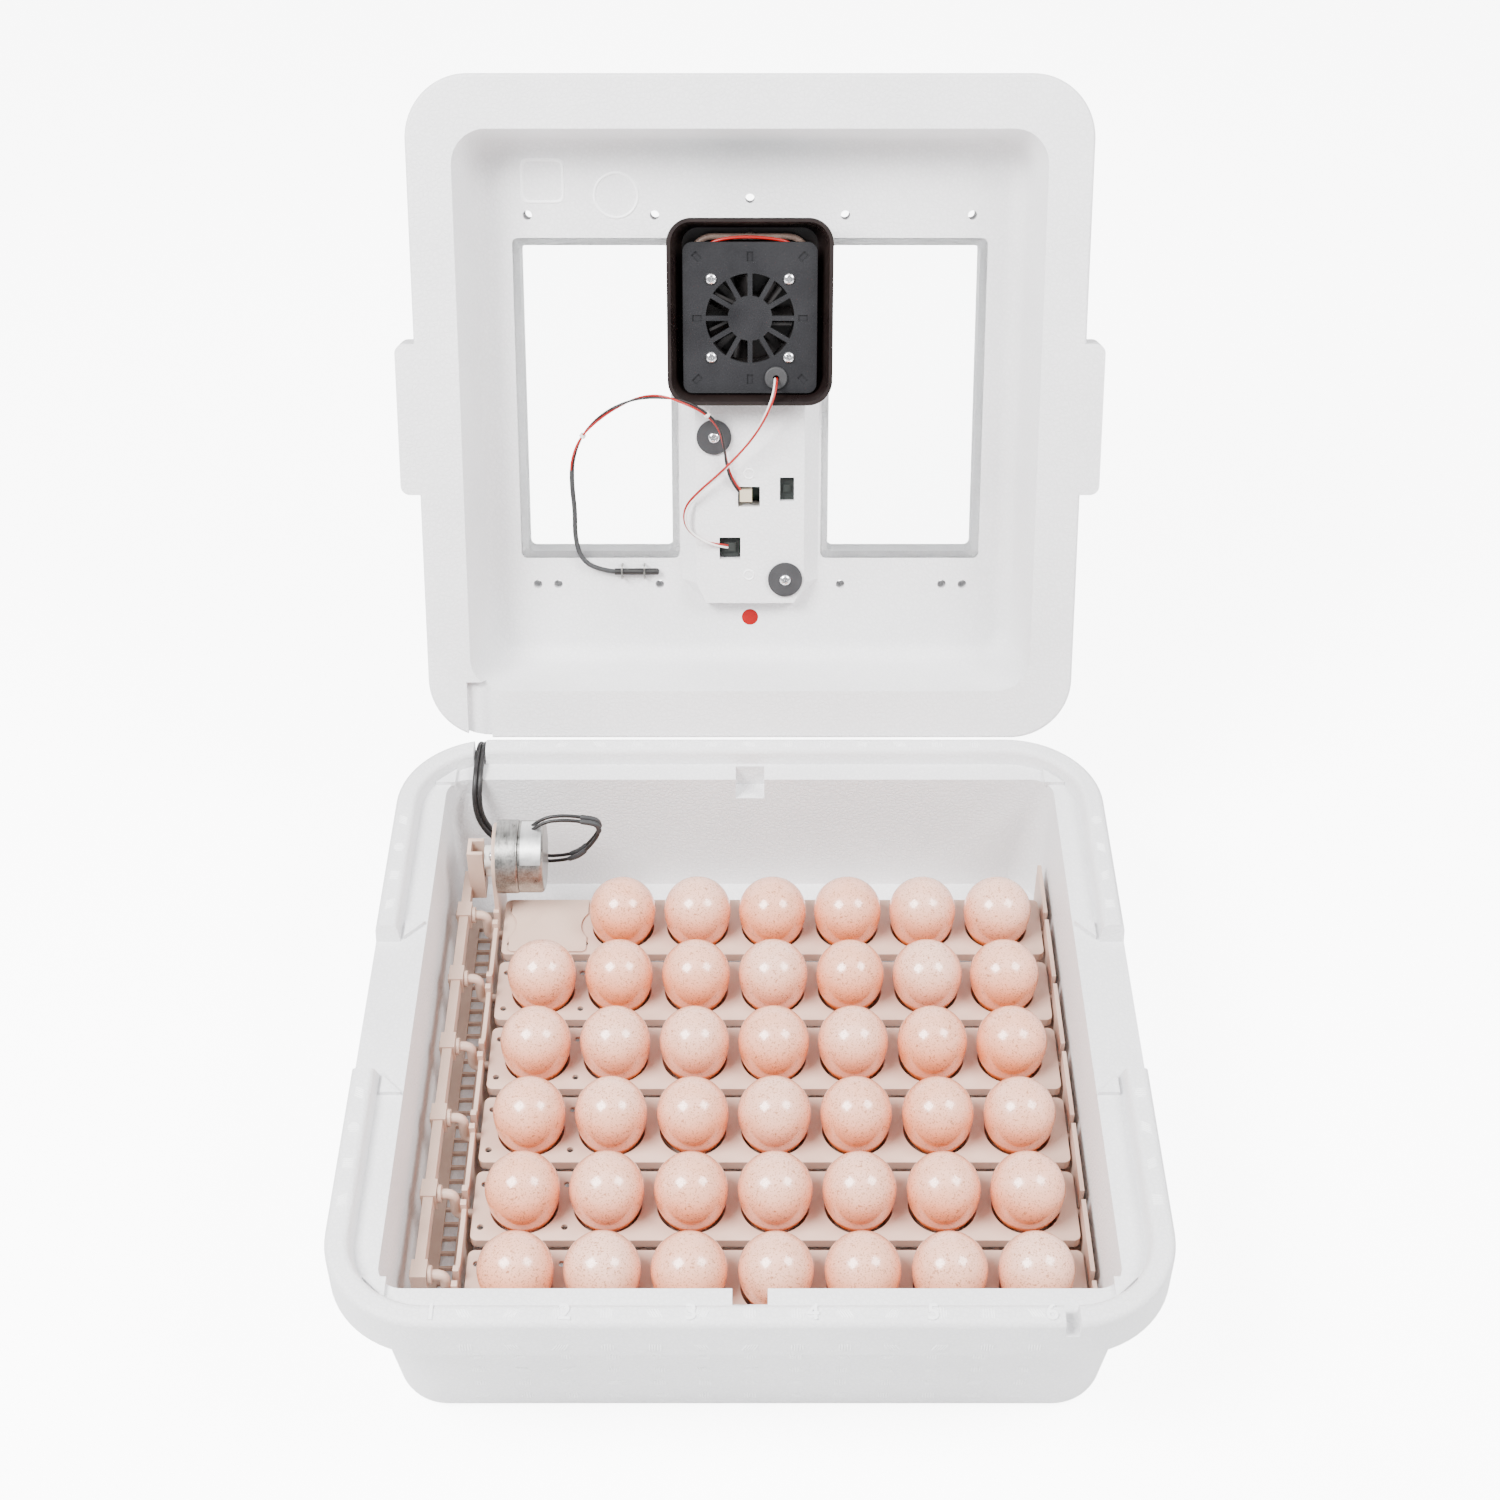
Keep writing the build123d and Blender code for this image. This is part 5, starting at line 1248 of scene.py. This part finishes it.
# ---------------------------------------------------------------- wiring of the lid
@dataclass
class LidWiring:
    """The lid's thin leads: sensor pair with its heat-shrink and ties, fan pair, and the heater's lead."""

    core: float = 0.74 * MM
    sensor_route: tuple = ((-5.5, 158.5, 13), (-12, 167, 15), (-15.5, 179, 17), (-17, 192, 20), (-20, 205, 26),
                           (-29, 216, 33), (-42, 223.5, 39.5), (-56, 227, 38), (-71, 225, 29), (-86, 218, 19),
                           (-100, 208, 11.5), (-112, 195, 7), (-118, 179, 5), (-118.5, 162, 4.5),
                           (-116.8, 145, 4.2), (-117.3, 128, 4), (-114, 113, 4), (-104, 105, 4),
                           (-91, 103.3, 4))
    fan_route: tuple = ((16.8, 236.8, 21), (16.9, 236.6, 31), (15.5, 228, 39), (11, 216, 38.5), (4, 202, 31),
                        (-6, 188, 25), (-19, 174, 22.5), (-33, 161, 18.5), (-43.5, 149, 16), (-43, 136, 15),
                        (-33, 127.5, 15.5), (-21.5, 124, 16), (-15, 121.5, 8))
    heater_route: tuple = ((-30, 313, 5), (-31, 316, 14), (-25, 323, 20.5), (-9, 326, 21.5), (9, 325.5, 21),
                           (25, 323, 20), (31, 316, 14), (30, 313, 5))
    shrink_from: float = 0.192
    shrink_r: float = 1.62 * MM
    tie_at: tuple = (0.062, 0.166)
    tie_w: float = 0.0042
    tie_r: float = 2.05 * MM
    twist_pitch: float = 0.13
    fan_twist: float = 0.208
    feed_r: float = 1.0 * MM

    def pair(self, route: tuple, twist: float) -> tuple[Line, Patch, Patch]:
        """Two thin cores that wind slowly about a route's line.

        The width direction turns by 360 degrees in each twist: w' = w cos b + u sin b.

        Args:
            route: control points in the lid's measures.
            twist: length of one full turn, in metres.

        Returns:
            The line and the two cores.
        """
        points = smooth_line(LID.points(route))
        across, up = LID.matrix()[:3, 0], LID.matrix()[:3, 1]
        line = Line.along(points, [across, across + 0.4 * up])
        tangent = np.gradient(points, axis=0)
        tangent /= np.linalg.norm(tangent, axis=1)[:, None]
        turn = (line.so_far / twist * 2 * math.pi)[:, None]
        aside = line.aside * np.cos(turn) + np.cross(tangent, line.aside) * np.sin(turn)
        wound = Line(points, aside)
        return line, wound.tube(self.core, self.core, 10), wound.tube(self.core, -self.core, 10)

    def build(self, paint: Paint) -> None:
        """Makes the three leads and what is on them.

        Args:
            paint: hands out the materials.
        """
        line, red, black = self.pair(self.sensor_route, self.twist_pitch)
        lead = red.piece("sensor_core_red", paint.of(LEAD_RED), "lid", "lead_red")
        black.piece("sensor_core_black", paint.of(CORD_BLACK), "lid", "cord_black")
        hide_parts("sensor_lead")
        shrink = line.part(self.shrink_from, 1.0)
        shrink.tube(self.shrink_r).piece("sensor_sleeve", paint.of(RUBBER), "lid", "dark_rubber")
        ties = Patch(np.empty((0, 3)))
        for at in self.tie_at:
            band = line.part(at, at + self.tie_w)
            ties = ties + band.tube(self.tie_r, sides=16)
        ties.piece("sensor_ties", paint.of(WHITE), "lid", "white_plastic")
        _, red, white = self.pair(self.fan_route, self.fan_twist)
        lead = red.piece("fan_core_red", paint.of(LEAD_RED), "lid", "lead_red")
        white.piece("fan_core_white", paint.of(LEAD_WHITE), "lid", "white_plastic")
        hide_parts("fan_lead")
        points = smooth_line(LID.points(self.heater_route))
        lead = Line.along(points, [LID.matrix()[:3, 1]] * 2).tube(self.feed_r)
        lead = lead.piece("heater_feed", paint.of(LEAD_RED), "lid", "lead_red")
        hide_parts("heater_lead")


def main() -> None:
    """Builds the scene in order: camera and cords first, then the foam, the eggs and the small parts."""
    paint = Paint()
    Studio().build(paint)
    TurnerCord().build(paint)
    paint.dress_nodes()
    FoamMarks().build(paint)
    Eggs().build(paint)
    Screws().build(paint)
    MotorLabel().build(paint)
    LidWiring().build(paint)


if __name__ == "__main__":
    logging.basicConfig(level=logging.INFO)
    main()
